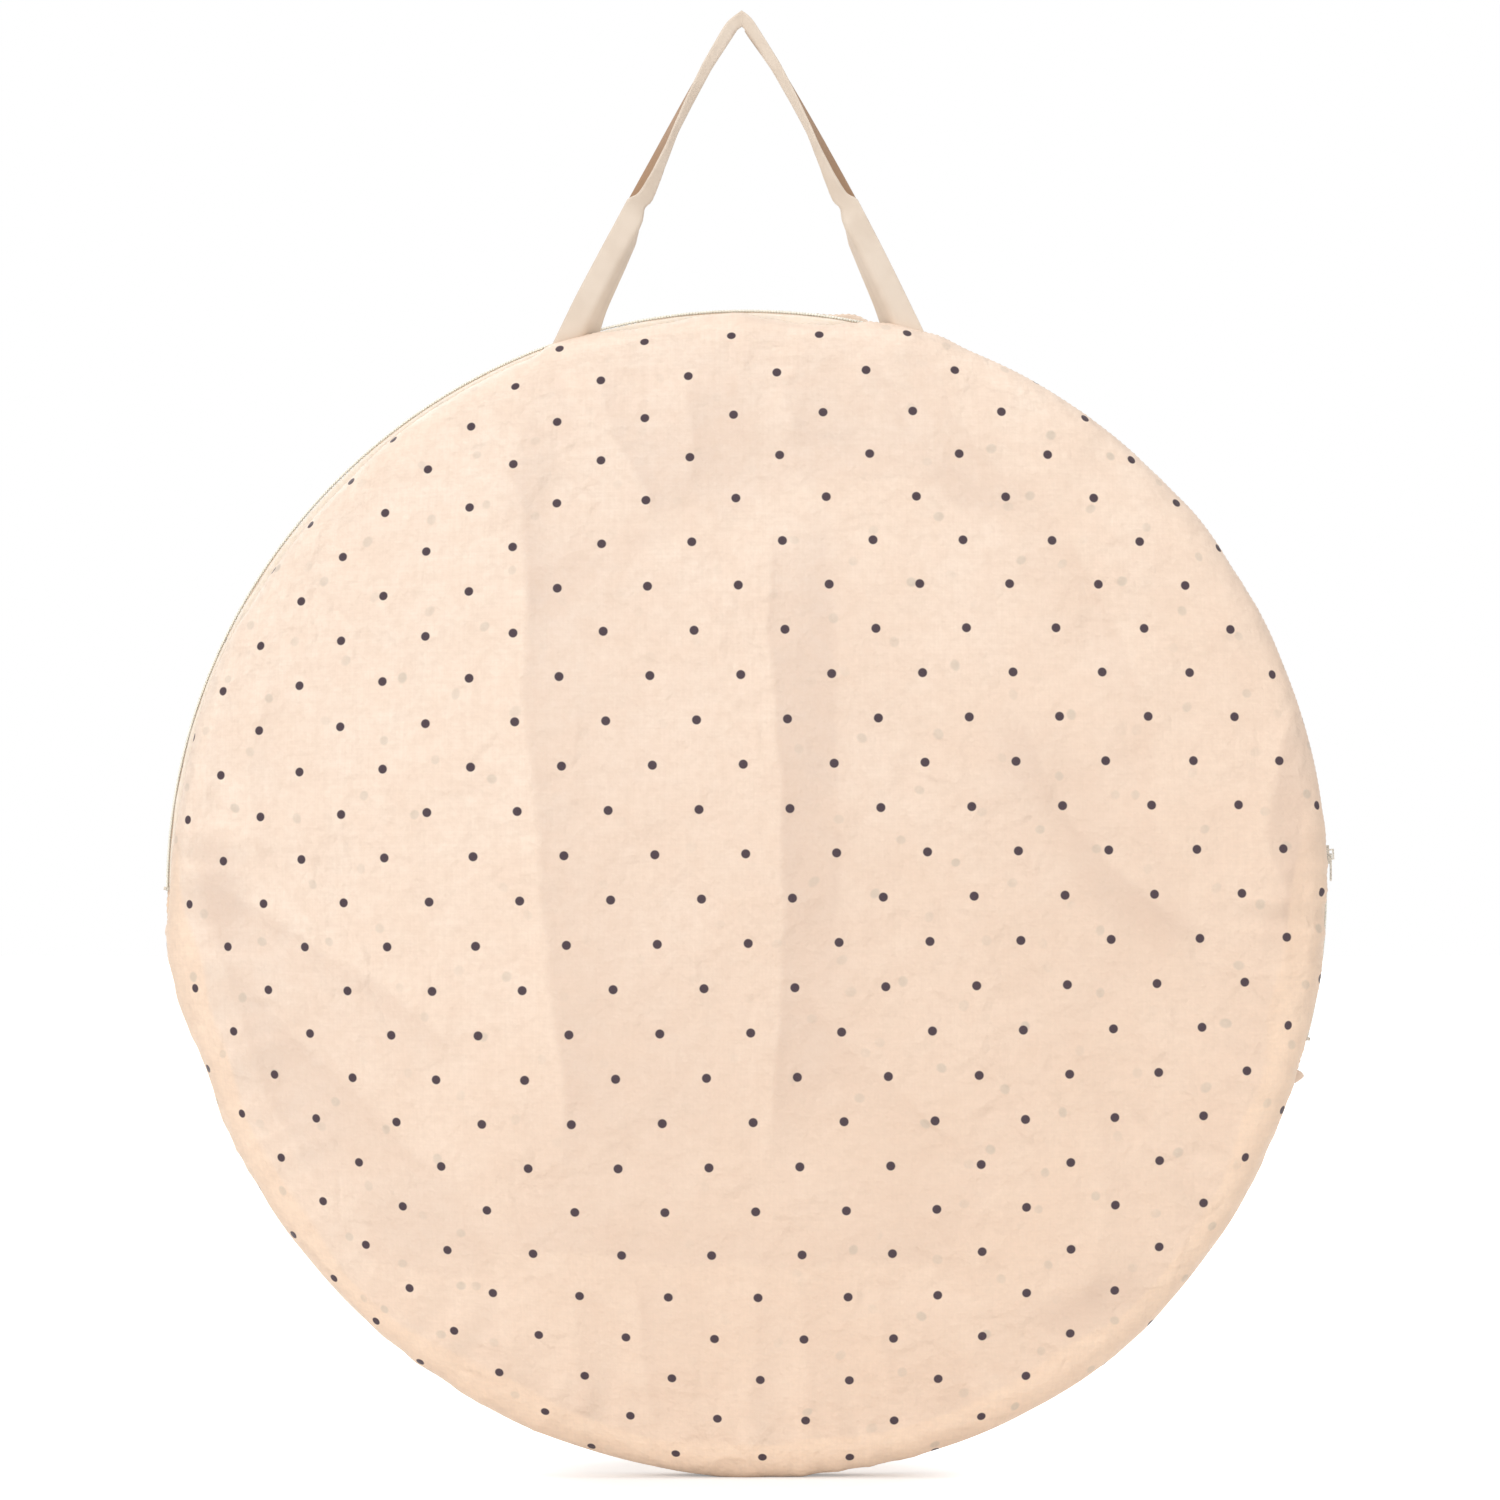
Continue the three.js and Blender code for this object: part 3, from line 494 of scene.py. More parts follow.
BACK_REACH = {
    -16: 279.4, 0: 279.0, 40: 278.8, 70: 279.0, 77: 280.2, 79.4: 282.6, 82: 280.0, 86: 278.6,
    97: 279.4, 104: 278.6, 140: 278.8, 178: 279.0, 186: 280.4, 198: 274.6, 216: 275.6, 234: 277.0,
    250: 279.8, 270: 282.0, 297: 285.4, 324: 282.8,
}
# Where the rim is gathered, as angle: height of the puckers.
GATHERS = {
    12: 0.7, 24: 0.35, 38: 0.12, 62: 0.12, 78: 0.35, 110: 0.22, 160: 0.15, 188: 0.9, 205: 1.0,
    225: 0.8, 248: 0.9, 268: 0.8, 285: 0.5, 310: 0.4, 334: 0.8, 354: 1.1,
}
# How much more cloth than face lies between the middle and the rim, as angle: length.
FRONT_EASE = {
    22: 5.2, 67: 5.4, 112: 11.1, 157: 12.2, 203: 17.4, 248: 13.1, 293: 7.1, 338: 3.2,
}
BACK_EASE = {0: 8.0, 90: 6.0, 180: 9.0, 270: 10.0}
EASE_FROM, EASE_TO = 140.0, 265.0
RIM_EASE = 3.0  # taken up by the gathers in the last turn of the rim
HEM_DIP = {
    69.6: 0, 71.8: 1.8, 78.6: 1.8, 80.6: 0, 101.6: 0, 103.6: 1.8, 110.2: 1.8, 112.4: 0,
}

# Lines in the cloth: across and up of each point along it, the height of its crease, then how far the
# painted shade beside it fades (to the right of the line's run, or to the left if negative) and how
# dark.
FRONT_LINES = [
    ((-110, 190, -106, 125, -105, 67, -98, -5, -91, -77, -85, -146), 0.9, -62, 0.11),
    ((12, 186, 11, 125, 14, 67, 19, -5, 13, -77, 11, -145), 0.8, -30, 0.11),
    ((38, 196, 42, 111, 45, 24, 40, -60), 0.4, 15, 0.075),
    ((-103, 107, -81, 140, -49, 165, -20, 179, 16, 192, 74, 199, 117, 196, 146, 179), 0.8, -30, 0.07),
    ((-72, 251, -62, 212, -42, 176), 1.2, -16, 0.08),
    ((-30, 250, -26, 190), 0.9, -14, 0.06),
    ((-4, 266, 2, 212), 1.1, 14, 0.055),
    ((28, 262, 18, 236, 24, 214), 0.9, -12, 0.05),
    ((56, 262, 70, 236, 84, 214), 0.7, 12, 0.04),
    ((83, 270, 97, 236, 118, 199), 1.4, 15, 0.05),
    ((-90, 250, -84, 226, -88, 196), 0.8, 12, 0.05),
    ((139, 190, 171, 140, 191, 96, 195, 38, 207, -5), 1.0, 26, 0.06),
    ((126, 96, 146, 52, 171, 12, 218, -20), 0.7, 20, 0.085),
    ((233, 2, 190, -48, 146, -92, 117, -149, 88, -193), 1.3, 26, 0.065),
    ((22, -45, 60, -84, 106, -124), 0.8, 22, 0.04),
    ((-143, -177, -85, -173, -42, -178, 16, -180, 112, -176), 0.6, -26, 0.09),
    ((-262, 8, -229, -12, -179, -44, -135, -78), 1.2, 24, 0.085),
    ((-251, -34, -215, -70, -164, -120, -128, -150), 1.1, 24, 0.06),
    ((-190, -176, -150, -184, -120, -180), 0.5, -22, 0.08),
    ((-268, 24, -252, -34, -233, -92, -200, -152), 0.9, -14, 0.06),
    ((-117, 212, -107, 183, -106, 125), 0.6, -15, 0.085),
    ((-240, 140, -258, 70, -262, 30), 0.8, -10, 0.04),
    ((-228, 120, -238, 60, -232, 0), 0.6, -12, 0.035),
    ((-120, -190, -114, -240), 0.6, 12, 0.05),
    ((-84, -188, -78, -258), 0.6, -14, 0.05),
    ((-53, -185, -46, -262), 0.8, -12, 0.07),
    ((-18, -186, -24, -262), 0.7, 14, 0.05),
    ((4, -186, 2, -258), 0.5, -12, 0.045),
    ((28, -184, 30, -262), 0.6, -12, 0.045),
    ((64, -186, 70, -262), 0.7, -10, 0.05),
    ((96, -196, 106, -250), 0.5, 12, 0.04),
    ((150, -60, 176, -140, 160, -215), 0.6, -16, 0.035),
    ((262, 90, 250, 30, 266, -20), 1.1, -14, 0.10),
    ((272, 40, 256, -6, 262, -60), 1.0, -12, 0.09),
    ((256, -40, 236, -100, 205, -150), 0.8, 12, 0.045),
    ((120, 96, 140, 20, 138, -60), 0.6, 24, 0.035),
    ((66, 180, 44, 60, 52, -60), 0.4, 24, 0.02),
]
FRONT_SHADE_SPOTS = [  # painted shade in soft patches: middle, half length, half width, slant in degrees, how dark
    ((113, 194), 26, 10, -14, 0.10), ((30, 90), 90, 13, 86, 0.05), ((166, -200), 28, 9, 24, 0.10),
    ((-254, 2), 26, 13, -70, 0.11), ((262, 20), 44, 11, 88, 0.11), ((-215, -95), 50, 26, -45, 0.05),
    ((150, 46), 44, 16, -60, 0.06), ((190, -12), 34, 14, -40, 0.06), ((-60, -120), 60, 46, 70, 0.03),
    ((36, 222), 16, 22, 0, 0.04), ((-104, 196), 34, 9, 86, 0.06), ((-20, 205), 30, 26, 0, 0.04),
    ((30, -60), 50, 20, 80, 0.03), ((150, -200), 40, 8, 30, 0.05), ((0, 236), 110, 34, 0, 0.03),
    ((-150, -160), 30, 14, -20, 0.05),
]
BACK_LINES = [
    ((-60, 262, -80, 200, -70, 120), 1.1, 20, 0.07),
    ((66, 262, 90, 190, 84, 90), 1.1, -20, 0.07),
    ((10, 264, 4, 212), 0.8, 14, 0.05),
    ((100, 200, 96, 20, 80, -150), 0.9, -50, 0.09),
    ((-40, 150, -62, 10, -70, -170), 0.9, 36, 0.10),
    ((-200, 120, -60, 180, 80, 190, 170, 130), 0.8, -30, 0.06),
    ((-150, 120, -60, 30), 0.8, 18, 0.05),
    ((190, -40, 150, -110, 60, -190), 1.0, 24, 0.06),
    ((-210, -40, -190, -100, -150, -170), 1.1, -18, 0.06),
    ((-130, -190, 0, -180, 120, -190), 0.6, -30, 0.07),
    ((-250, 40, -236, -40, -210, -110), 0.9, -14, 0.06),
    ((40, -190, 46, -262), 0.8, 12, 0.05),
    ((-30, -190, -36, -262), 0.8, 12, 0.05),
    ((92, -196, 100, -256), 0.6, -12, 0.04),
    ((-84, -192, -92, -256), 0.6, 12, 0.04),
]
BACK_SHADE_SPOTS = [
    ((-120, 190), 24, 10, 12, 0.09), ((-20, 60), 90, 16, 88, 0.05), ((170, -60), 40, 20, 60, 0.06),
    ((-180, -60), 40, 26, -50, 0.05), ((60, 120), 60, 30, 30, 0.04), ((258, 10), 30, 11, 88, 0.08),
]
# The band of painted light along the rim, where the rim's allowance is folded in behind the cloth, as
# angle: radius of its edge.
RIM_GLOW_EDGE = {
    196: 261, 213: 263, 227: 265, 239: 263, 250: 263, 259: 265, 270: 265, 281: 266, 292: 268,
    303: 268, 315: 270, 326: 268, 337: 264, 351: 257, 20: 276, 100: 280, 170: 276,
}
# the paler, warmer colour of that painted light
RIM_GLOW_RGB = (255, 225, 197)
LIT_CORNER_RGB, SHADED_CORNER_RGB = (255, 235, 217), (246, 219, 196)  # painted light at the upper left and painted shade at the lower right
PAINTED_SHADE_FALL = np.array([0.85, 1.0, 1.0])  # how much of a painted shade each of red, green and blue takes


def beside(across, up, points):
    """How far along a line's run each place is, from 0 to 1, and how far to the right of it."""
    points = np.reshape(points, (-1, 2)).astype(float)
    run = points[-1] - points[0]
    length = math.hypot(*run)
    ahead, right = run / length, np.array([run[1], -run[0]]) / length
    knots, sway = (points - points[0]) @ ahead, (points - points[0]) @ right
    dx, dy = across - points[0][0], up - points[0][1]
    along = dx * ahead[0] + dy * ahead[1]
    return along / length, dx * right[0] + dy * right[1] - np.interp(along, knots, sway)


def drape(across, up, lines, shade_spots, seed):
    """Relief of the cloth's creases, and its painted shading: painted light to the upper left, painted
    shade where folded layers behind and folds darken it.
    """
    relief = np.zeros(across.shape)
    # painted light and shade: lighter towards the upper left, darker towards the lower right
    deep = smooth(0.5 + (0.6 * across - 0.8 * up) / 560)[..., None]
    lit_linear, shaded_linear, cream = (np.array(linear(*c)[:3]) for c in (LIT_CORNER_RGB, SHADED_CORNER_RGB, CREAM_RGB))
    painted_shading_and_tone = (lit_linear * (1 - deep) + shaded_linear * deep) / cream
    wander = 1.5 * waves(across, up, 60, seed) + 0.5 * waves(across, up, 22, seed + 1)
    for points, height, reach, shade_depth in lines:
        along, aside = beside(across, up, points)
        aside = (aside + wander) * math.copysign(1, reach)
        fade = smooth(along / 0.16) * smooth((1 - along) / 0.16)
        relief += 1.2 * height * fade * (np.exp(-np.abs(aside) / 3.6) + 0.5 * bump(aside + 6, 10))
        # painted shade on one side of each crease, and a little painted light on the other
        painted_shade = smooth(aside / 5 + 0.5) * np.exp(-np.maximum(aside, 0) / abs(reach))
        painted_light = 0.25 * smooth(0.5 - aside / 5) * np.exp(np.minimum(aside, 0) / 6)
        painted_shading_and_tone = painted_shading_and_tone * (1 - (shade_depth * fade * (painted_shade - painted_light))[..., None] * PAINTED_SHADE_FALL)
    # painted shade in soft patches
    for (u, v), long, wide, slant, shade_depth in shade_spots:
        c, s = heading(slant)
        dx, dy = across - u + 2 * wander, up - v + 2 * wander
        far = np.hypot((dx * c + dy * s) / long, (dy * c - dx * s) / wide)
        painted_shading_and_tone = painted_shading_and_tone * (1 - (shade_depth * (1 - smooth((far - 0.35) / 1.1)))[..., None] * PAINTED_SHADE_FALL)
    return relief, painted_shading_and_tone


def wrinkles(across, up, seed, count=110):
    """Relief of many small straight creases, which run outwards near the rim."""
    rng = np.random.default_rng(seed)
    relief = np.zeros(across.shape)
    for _ in range(count):
        far, place = 255 * math.sqrt(rng.uniform(0.02, 1)), rng.uniform(0, 2 * math.pi)
        lean = place + rng.normal(0, 0.4) if far > 150 else rng.uniform(0, math.pi)
        half, wide = rng.uniform(16, 62), rng.uniform(2.8, 7)
        height = rng.uniform(0.12, 0.42) * rng.choice((-1, 1))
        dx, dy = across - far * math.cos(place), up - far * math.sin(place)
        along = dx * math.cos(lean) + dy * math.sin(lean)
        aside = dy * math.cos(lean) - dx * math.sin(lean)
        relief += height * np.exp(-np.abs(aside) / wide) * smooth(1 - np.abs(along) / half)
    return relief


def profile(side, angle, reach, in_mouth):
    """The hem's depth, then the radius, depth and slope of each ring of a face, from its middle out."""
    dip = around(HEM_DIP, angle)
    if side < 0:
        hem = np.where(in_mouth, FRONT_HEM + dip, SEAM_GAP - seam_y)
        roll_end = np.full_like(reach, FRONT_ROLL_END)
    else:
        hem = np.where(in_mouth, BACK_HEM, seam_y + SEAM_GAP)
        roll_end = hem + BACK_WALL
    fall = half_depth - roll_end
    roll = np.clip(fall - 1.5 * np.maximum(FULL_REACH - reach, 0), *ROLL_SPAN)
    flat_end = reach - roll
    upright = np.full_like(reach, math.pi / 2)
    rows = []
    for share in np.concatenate([np.linspace(0.012, 0.8, 86), np.linspace(0.8, 1.0, 34)[1:]]):
        radius = flat_end * share
        rise = DISH * smooth((radius - DISH_FROM) / DISH_WIDTH)
        rows.append((radius, MIDDLE_DEPTH + rise, np.zeros_like(radius)))
    for turn in np.linspace(0, 90, 13)[1:]:
        c, s = heading(turn)
        rows.append((flat_end + roll * s, roll_end + fall * c, np.arctan2(fall * s, roll * c)))
    for share in np.linspace(0, 1, 6)[1:]:
        rows.append((reach, roll_end + (hem - roll_end) * share, upright))
    facing_end = zip_radius - FACING_DEPTH + (FACING_DIP * dip if side < 0 else 0)
    for (inward, back), (share, turn) in zip(HEM_FOLD, HEM_FACING):
        facing = (reach - HEM_FOLD[0][0]) * (1 - share) + facing_end * share
        end = np.where(in_mouth, facing, reach - inward)
        rows.append((end, hem + np.where(in_mouth, turn, back), upright))
    return hem, *(np.array(part) for part in zip(*rows))


def gathers(angle, rim, side):
    """Relief of the puckers along the rim, by the distance from the rim's middle line."""
    arc = np.radians(angle) * zip_radius
    fold = np.abs(waves(arc, 0.10 * rim, 30, 47 + side, 12))
    fine = np.abs(waves(arc, 0.3 * rim, 13, 41 + side, 12))
    uneven = np.clip(0.75 + 0.6 * waves(arc, 0.3 * rim, 90, 37 + side), 0.1, 1.4)
    ripple = 1.2 * bump(rim, 38) * (0.45 - fold) + 0.4 * bump(rim, 16) * (0.4 - fine)
    return around(GATHERS, angle) * uneven * ripple


def add_rim_glow(painted_shading_and_tone, angle, radius, up):
    """The painted shading with a paler band of painted light over it, where the folded allowance lies
    behind, in the lower half.
    """
    edge = around(RIM_GLOW_EDGE, angle) + 1.5 * waves(np.radians(angle) * zip_radius, 0, 60, 53)
    glow = smooth((radius - edge) / 2.5 + 0.5)
    glow_rgb = np.array(linear(*RIM_GLOW_RGB)[:3]) / np.array(CREAM[:3])
    share = (glow * smooth((60 - up) / 60))[..., None]
    return painted_shading_and_tone * (1 - share) + (0.35 * painted_shading_and_tone + 0.65 * glow_rgb) * share


def panel(name, node, side, reach_table, ease_table, lines, shade_spots, look):
    """One face of the bag with its half of the rim: a thin dished sheet with a turned-in hem."""
    angle = np.linspace(0, 360, COLUMNS, endpoint=False)
    reach = around(reach_table, angle)
    in_mouth = np.mod(angle - MOUTH_FROM, 360) <= MOUTH_TO - MOUTH_FROM
    hem, radius, depth, slope = profile(side, angle, reach, in_mouth)
    steps = np.hypot(np.diff(radius, axis=0), np.diff(depth, axis=0))
    flat = np.concatenate([radius[:1], radius[:1] + np.cumsum(steps, axis=0)])
    rim = np.maximum(reach - radius, 0) + np.maximum(half_depth - depth, 0)

    mirror = -side  # across runs to the viewer's right, whichever face is looked at
    cos, sin = heading(angle)
    across, up = mirror * radius * cos, radius * sin
    away = np.maximum(np.minimum(radius, EASE_TO + 8) - EASE_FROM, 0) / (EASE_TO - EASE_FROM)
    eased = flat + around(ease_table, angle) * away**2 + RIM_EASE * smooth(1 - rim / 16)

    relief, painted_shading_and_tone = drape(across, up, lines, shade_spots, 19 + side)
    relief += 0.7 * waves(across, up, 150, 3 + side) + 0.35 * waves(across, up, 62, 11 + side)
    relief += wrinkles(across, up, 23 + side)
    ripple = gathers(angle, rim, side)
    relief = relief * (0.25 + 0.75 * smooth(rim / 14)) + ripple
    relief = np.where(rim > 60, relief, np.maximum(relief, -0.45))
    relief[-len(HEM_FOLD):] *= 0.35
    relief *= smooth(radius / 8)
    joined = np.where(in_mouth, 0.0, smooth(1 - np.abs(depth - hem) / SEAM_JOIN))
    joined[-len(HEM_FOLD):] = np.where(in_mouth, 0.0, 1.0)
    relief *= 1 - joined
    radius = radius + joined * ((around(FRONT_REACH, angle) + around(BACK_REACH, angle)) / 2 - reach)
    # painted light and shade on the puckers: lighter where they stand out, darker where they sink
    painted_shading_and_tone = painted_shading_and_tone * (1 + (0.15 * (ripple - 0.1))[..., None])
    # painted light along the lower rim
    painted_shading_and_tone = add_rim_glow(painted_shading_and_tone, angle, radius, up)
    painted_shading_and_tone = painted_shading_and_tone * (1 + 0.012 * waves(across, up, 70, 61)[..., None] * np.array([0.6, 1.0, 1.3]))

    radius = radius + relief * np.sin(slope)
    depth = depth + relief * np.cos(slope)
    points = on_ring(np.broadcast_to(angle, radius.shape), radius, side * depth)
    rings, columns = radius.shape
    faces = grid_faces(rings, columns).tolist()
    faces += [[(j + 1) % columns, j, rings * columns] for j in range(columns)]
    grown = eased / np.maximum(radius, 1)
    uv = np.stack([mirror * radius * cos * grown, radius * sin * grown], axis=-1) / CLOTH_SPAN + 0.5
    uv = np.concatenate([uv.reshape(-1, 2), [[0.5, 0.5]]])
    painted_shading_and_tone = np.concatenate([painted_shading_and_tone.reshape(-1, 3), painted_shading_and_tone[0].mean(axis=0)[None]])
    everything = np.concatenate([points.reshape(-1, 3), on_ring(0.0, 0.0, side * MIDDLE_DEPTH)[None]])
    piece = make_piece(name, everything, faces, look, "bag", uv, painted_shading_and_tone, flip=side > 0)
    wall = piece.modifiers.new("cloth", "SOLIDIFY")
    wall.thickness = 0.12 * MM
    wall.offset = -1
    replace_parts(piece, node)
    return points


front_points = panel(
    "bag_front_cloth", "bag_front_panel", -1,
    FRONT_REACH, FRONT_EASE, FRONT_LINES, FRONT_SHADE_SPOTS, FRONT_CLOTH,
)
back_points = panel(
    "bag_back_cloth", "bag_back_panel", 1,
    BACK_REACH, BACK_EASE, BACK_LINES, BACK_SHADE_SPOTS, BACK_CLOTH,
)

# ---- The handle ----

WEBBING_WIDTH = 20.0
WEBBING_WALL = 1.2
FOOT_LEAN = math.radians(26)
STRAP_BOWS = (0.6, 2.2)  # how far each outer edge stands out below its shoulder, left and right
STRAP_SPREAD = (0.0, 3.8)  # how far each foot stands outside the plain handle of the frame
STRAP_SHOULDERS = ((-6.9, -3.8), (4.9, -1.9))  # X and Z where each outer edge bends near the top
STRAP_TOP = (0.3, 1.3)  # X and Z where the outer edges meet
TOP_REACH = 9.0  # how far from there each branch's end is sheared to meet the other
TAIL = 9.0  # turned forward under the hem and sewn
TAIL_BEND = 1.8
SEWN_RADIUS = 274.0  # of the sewn tail's middle
HEM_SHADE_RADIUS = 284  # where the rim's painted shadow falls on the webbing
LEFT_CROOK, RIGHT_CROOK = -9, -19  # how far down the painted shade between the branches reaches on each

# How the webbing folds along its length towards the top, as height, the slants of its outer and
# inner parts, and where across its width it folds. Flat at the feet, its inner part turns back and
# out again until a strip of its reverse side shows past the outer edge.
FOLD = [
    (-400, 0, 0, 0.5), (-166, 0, 0, 0.5), (-160, 0, -12, 0.5), (-152, 0, -38, 0.5),
    (-147, 0, -44, 0.5), (-141, 0, -50, 0.5), (-132, 0, -57, 0.5), (-116, 0, -66, 0.5),
    (-104, 0, -76, 0.52), (-98, -1, -92, 0.55), (-94, -8, -116, 0.55), (-90, -22, -148, 0.51),
    (-85.5, -32, -158, 0.44), (-78, -38, -140, 0.37), (-70, -44, -126, 0.3), (-60, -53, -116, 0.25),
    (-54.7, -54, -112, 0.24), (-41, -42, -110, 0.25), (-24, -26, -109, 0.26), (-8, -20, -115, 0.31),
    (10, -20, -115, 0.31),
]


def strap_path():
    """Outer edge of the webbing from one sewn end over the top to the other, as X, Z, Y, how far
    it has turned forward, from 0 to 90 degrees, how far its width slants to follow the rim, and
    which branch it is on."""
    middle = np.array([centre[0], centre[2]])
    top = np.array(STRAP_TOP)
    branches = []
    for side, fold_x in ((-1, strap_low[0] - STRAP_SPREAD[0]), (1, strap_high[0] + STRAP_SPREAD[1])):
        fold = np.array([fold_x, fold_z])
        shoulder = np.array(STRAP_SHOULDERS[side > 0])
        chord = unit(shoulder - fold)
        outward = np.array([side * chord[1], -side * chord[0]])
        bow = (fold + shoulder) / 2 + 2 * STRAP_BOWS[side > 0] * outward
        down = np.array([side * math.sin(FOOT_LEAN), -math.cos(FOOT_LEAN)])
        half = WEBBING_WIDTH / 2 * np.array([down[1], -down[0]]) * side
        depth = 0.0
        while np.linalg.norm(fold + half + down * depth - middle) > SEWN_RADIUS + TAIL_BEND:
            depth += 0.1
        sewn = fold + half + down * depth - middle
        skew = math.tan(FOOT_LEAN + math.atan2(abs(sewn[0]), sewn[1]))
        end = fold + down * (depth + TAIL_BEND)
        tail = [(*end, y, 90.0, skew) for y in -TAIL_BEND - np.linspace(1, 0, 8) * (TAIL - TAIL_BEND)]
        for turn in np.linspace(90, 0, 7)[1:]:
            c, s = heading(turn)
            tail.append((*(fold + down * (depth + TAIL_BEND * s)), -TAIL_BEND * (1 - c), turn, skew))
        tail += [(*(fold + down * depth * share), 0.0, 0.0, skew * share)
                 for share in np.linspace(1, 0, 14)[1:]]
        t = np.linspace(0, 1, 84)[1:, None]
        arch = (1 - t) ** 2 * fold + 2 * t * (1 - t) * bow + t**2 * shoulder
        free = [(x, z, 0.0, 0.0, 0.0) for x, z in arch]
        free += [(*(shoulder + (top - shoulder) * share), 0.0, 0.0, 0.0)
                 for share in np.linspace(0, 1, 6)[1:]]
        branch = np.array(tail + free)
        first = len(tail) - 11
        for _ in range(5):  # evens out the bend at the rim
            before, here, after = (branch[first + k:len(branch) - 1 + k, :2] for k in (-1, 0, 1))
            branch[first:-1, :2] = (before + 2 * here + after) / 4
        branches.append(np.column_stack([branch, np.full(len(branch), side)]))
    return np.concatenate([branches[0], branches[1][-2::-1]])


def strap_section(height):
    """The webbing's middle line across its width: inward from its outermost place, and towards
    the viewer from its own middle."""
    heights, *values = np.array(FOLD).T
    outer, inner, place = (np.interp(height, heights, value) for value in values)
    outer, inner = math.radians(outer), math.radians(inner)
    share = np.linspace(0, 1, 41)
    halfway = (share[1:] + share[:-1]) / 2
    folded = float(smooth((height + 108) / 22))
    spread = 0.12 - 0.05 * folded
    slant = outer + (inner - outer) * smooth((halfway - place + spread) / (2 * spread))
    step = WEBBING_WIDTH / (len(share) - 1)
    ahead = np.stack([np.cos(slant), np.sin(slant)], axis=1)
    line = np.concatenate([[[0, 0]], np.cumsum(ahead * step, axis=0)])
    ends = np.concatenate([[slant[0]], (slant[1:] + slant[:-1]) / 2, [slant[-1]]])
    line -= [line[:, 0].min(), (line[:, 1].max() + line[:, 1].min()) / 2]
    return line, ends, share, folded, place


def strap_painted_shade(x, z, side, share, folded, place):
    """Painted shade across the webbing's face and its reverse, at one place along it."""
    # painted shade in the fold's trough, which darkens the reverse side
    trough_shade = folded * smooth((share - place + 0.1) / 0.2) * smooth((-4 - z) / 20)
    reverse_shade = 1 - trough_shade[:, None] * np.array([0.46, 0.60, 0.70])
    past_hem = math.hypot(x - centre[0], z - centre[2]) - HEM_SHADE_RADIUS
    # painted shadow of the rim's hem across the webbing
    hem = 0.10 * bump(past_hem, 3.0) * smooth(share / 0.3)
    low = RIGHT_CROOK if side > 0 else LEFT_CROOK
    # painted shade between the branches near the top
    crook_shade = 0.5 * smooth((-3 - z) / 3) * smooth((z - low) / 5) * bump(share - place - 0.04, 0.07)
    # painted shade along a soft crease near the inner edge, low on each branch
    soft = 0.05 * smooth((z + 150) / 20) * smooth((-84 - z) / 20) * bump(share - 0.8, 0.05)
    face = 1 - (hem + crook_shade + soft)[:, None] * np.array([0.85, 1.0, 1.1])
    return np.concatenate([face, reverse_shade[::-1]])


def handle():
    path = strap_path()
    length = run_length(path[:, [0, 2, 1]])
    apex = int(np.argmax(path[:, 1]))
    steps = np.diff(path[:, :2], axis=0)
    rings, uvs, painted_shadings = [], [], []
    for i, s in enumerate(length):
        x, z, y, turn, skew, side = path[i]
        rise = steps[min(i, apex - 1)] if i <= apex else -steps[i - 1]
        if turn > 0:
            rise = np.array([-side * math.sin(FOOT_LEAN), math.cos(FOOT_LEAN)])
        up = unit(np.array([rise[0], 0, rise[1]]))
        inward = np.array([up[2], 0, -up[0]]) * -side
        line, slant, share, folded, place = strap_section(z)
        c, sn = heading(turn)
        viewer = c * np.array([0, -1, 0]) + sn * up
        shear = max(0.0, 1 - abs(length[apex] - s) / TOP_REACH) * up[2] / abs(up[0])
        at = np.array([x, y, z]) + line[:, :1] * (inward - shear * up) + line[:, 1:] * viewer
        at = at - skew * (WEBBING_WIDTH / 2 - line[:, :1]) * up
        normal = -np.sin(slant)[:, None] * inward + np.cos(slant)[:, None] * viewer
        edge = np.abs(share - 0.5) * 2
        rounded = np.sqrt(np.clip(1 - smooth((edge - 0.93) / 0.07) * 0.85, 0, 1))
        wall = normal * (WEBBING_WALL / 2 * rounded)[:, None]
        rings.append(np.concatenate([at + wall, (at - wall)[::-1]]))
        v = share * WEBBING_WIDTH
        uvs.append(np.stack([np.full(2 * len(v), s), np.concatenate([v, v[::-1]])], axis=-1))
        painted_shadings.append(strap_painted_shade(x, z, side, share, folded, place))
    rings, uvs, painted_shadings = np.array(rings), np.array(uvs) / NARROW_SPAN + 0.5, np.array(painted_shadings)
    faces = rod_faces(*rings.shape[:2])
    piece = make_piece("handle_webbing", rings, faces, WEBBING, None, uvs, painted_shadings)
    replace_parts(piece, "handle_strap", "strap_anchor_left", "strap_anchor_right")
    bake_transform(piece)


handle()

# ---- The zip ----

ZIP_FROM, ZIP_TO = -15.0, 180.0
TOOTH_PITCH = 1.4
TOOTH_RADIUS = 0.56
COIL_DEPTH = 0.75  # half of what a loop takes up across the rim
COIL_LAP = 0.45  # how far each loop passes the plain coil of the frame


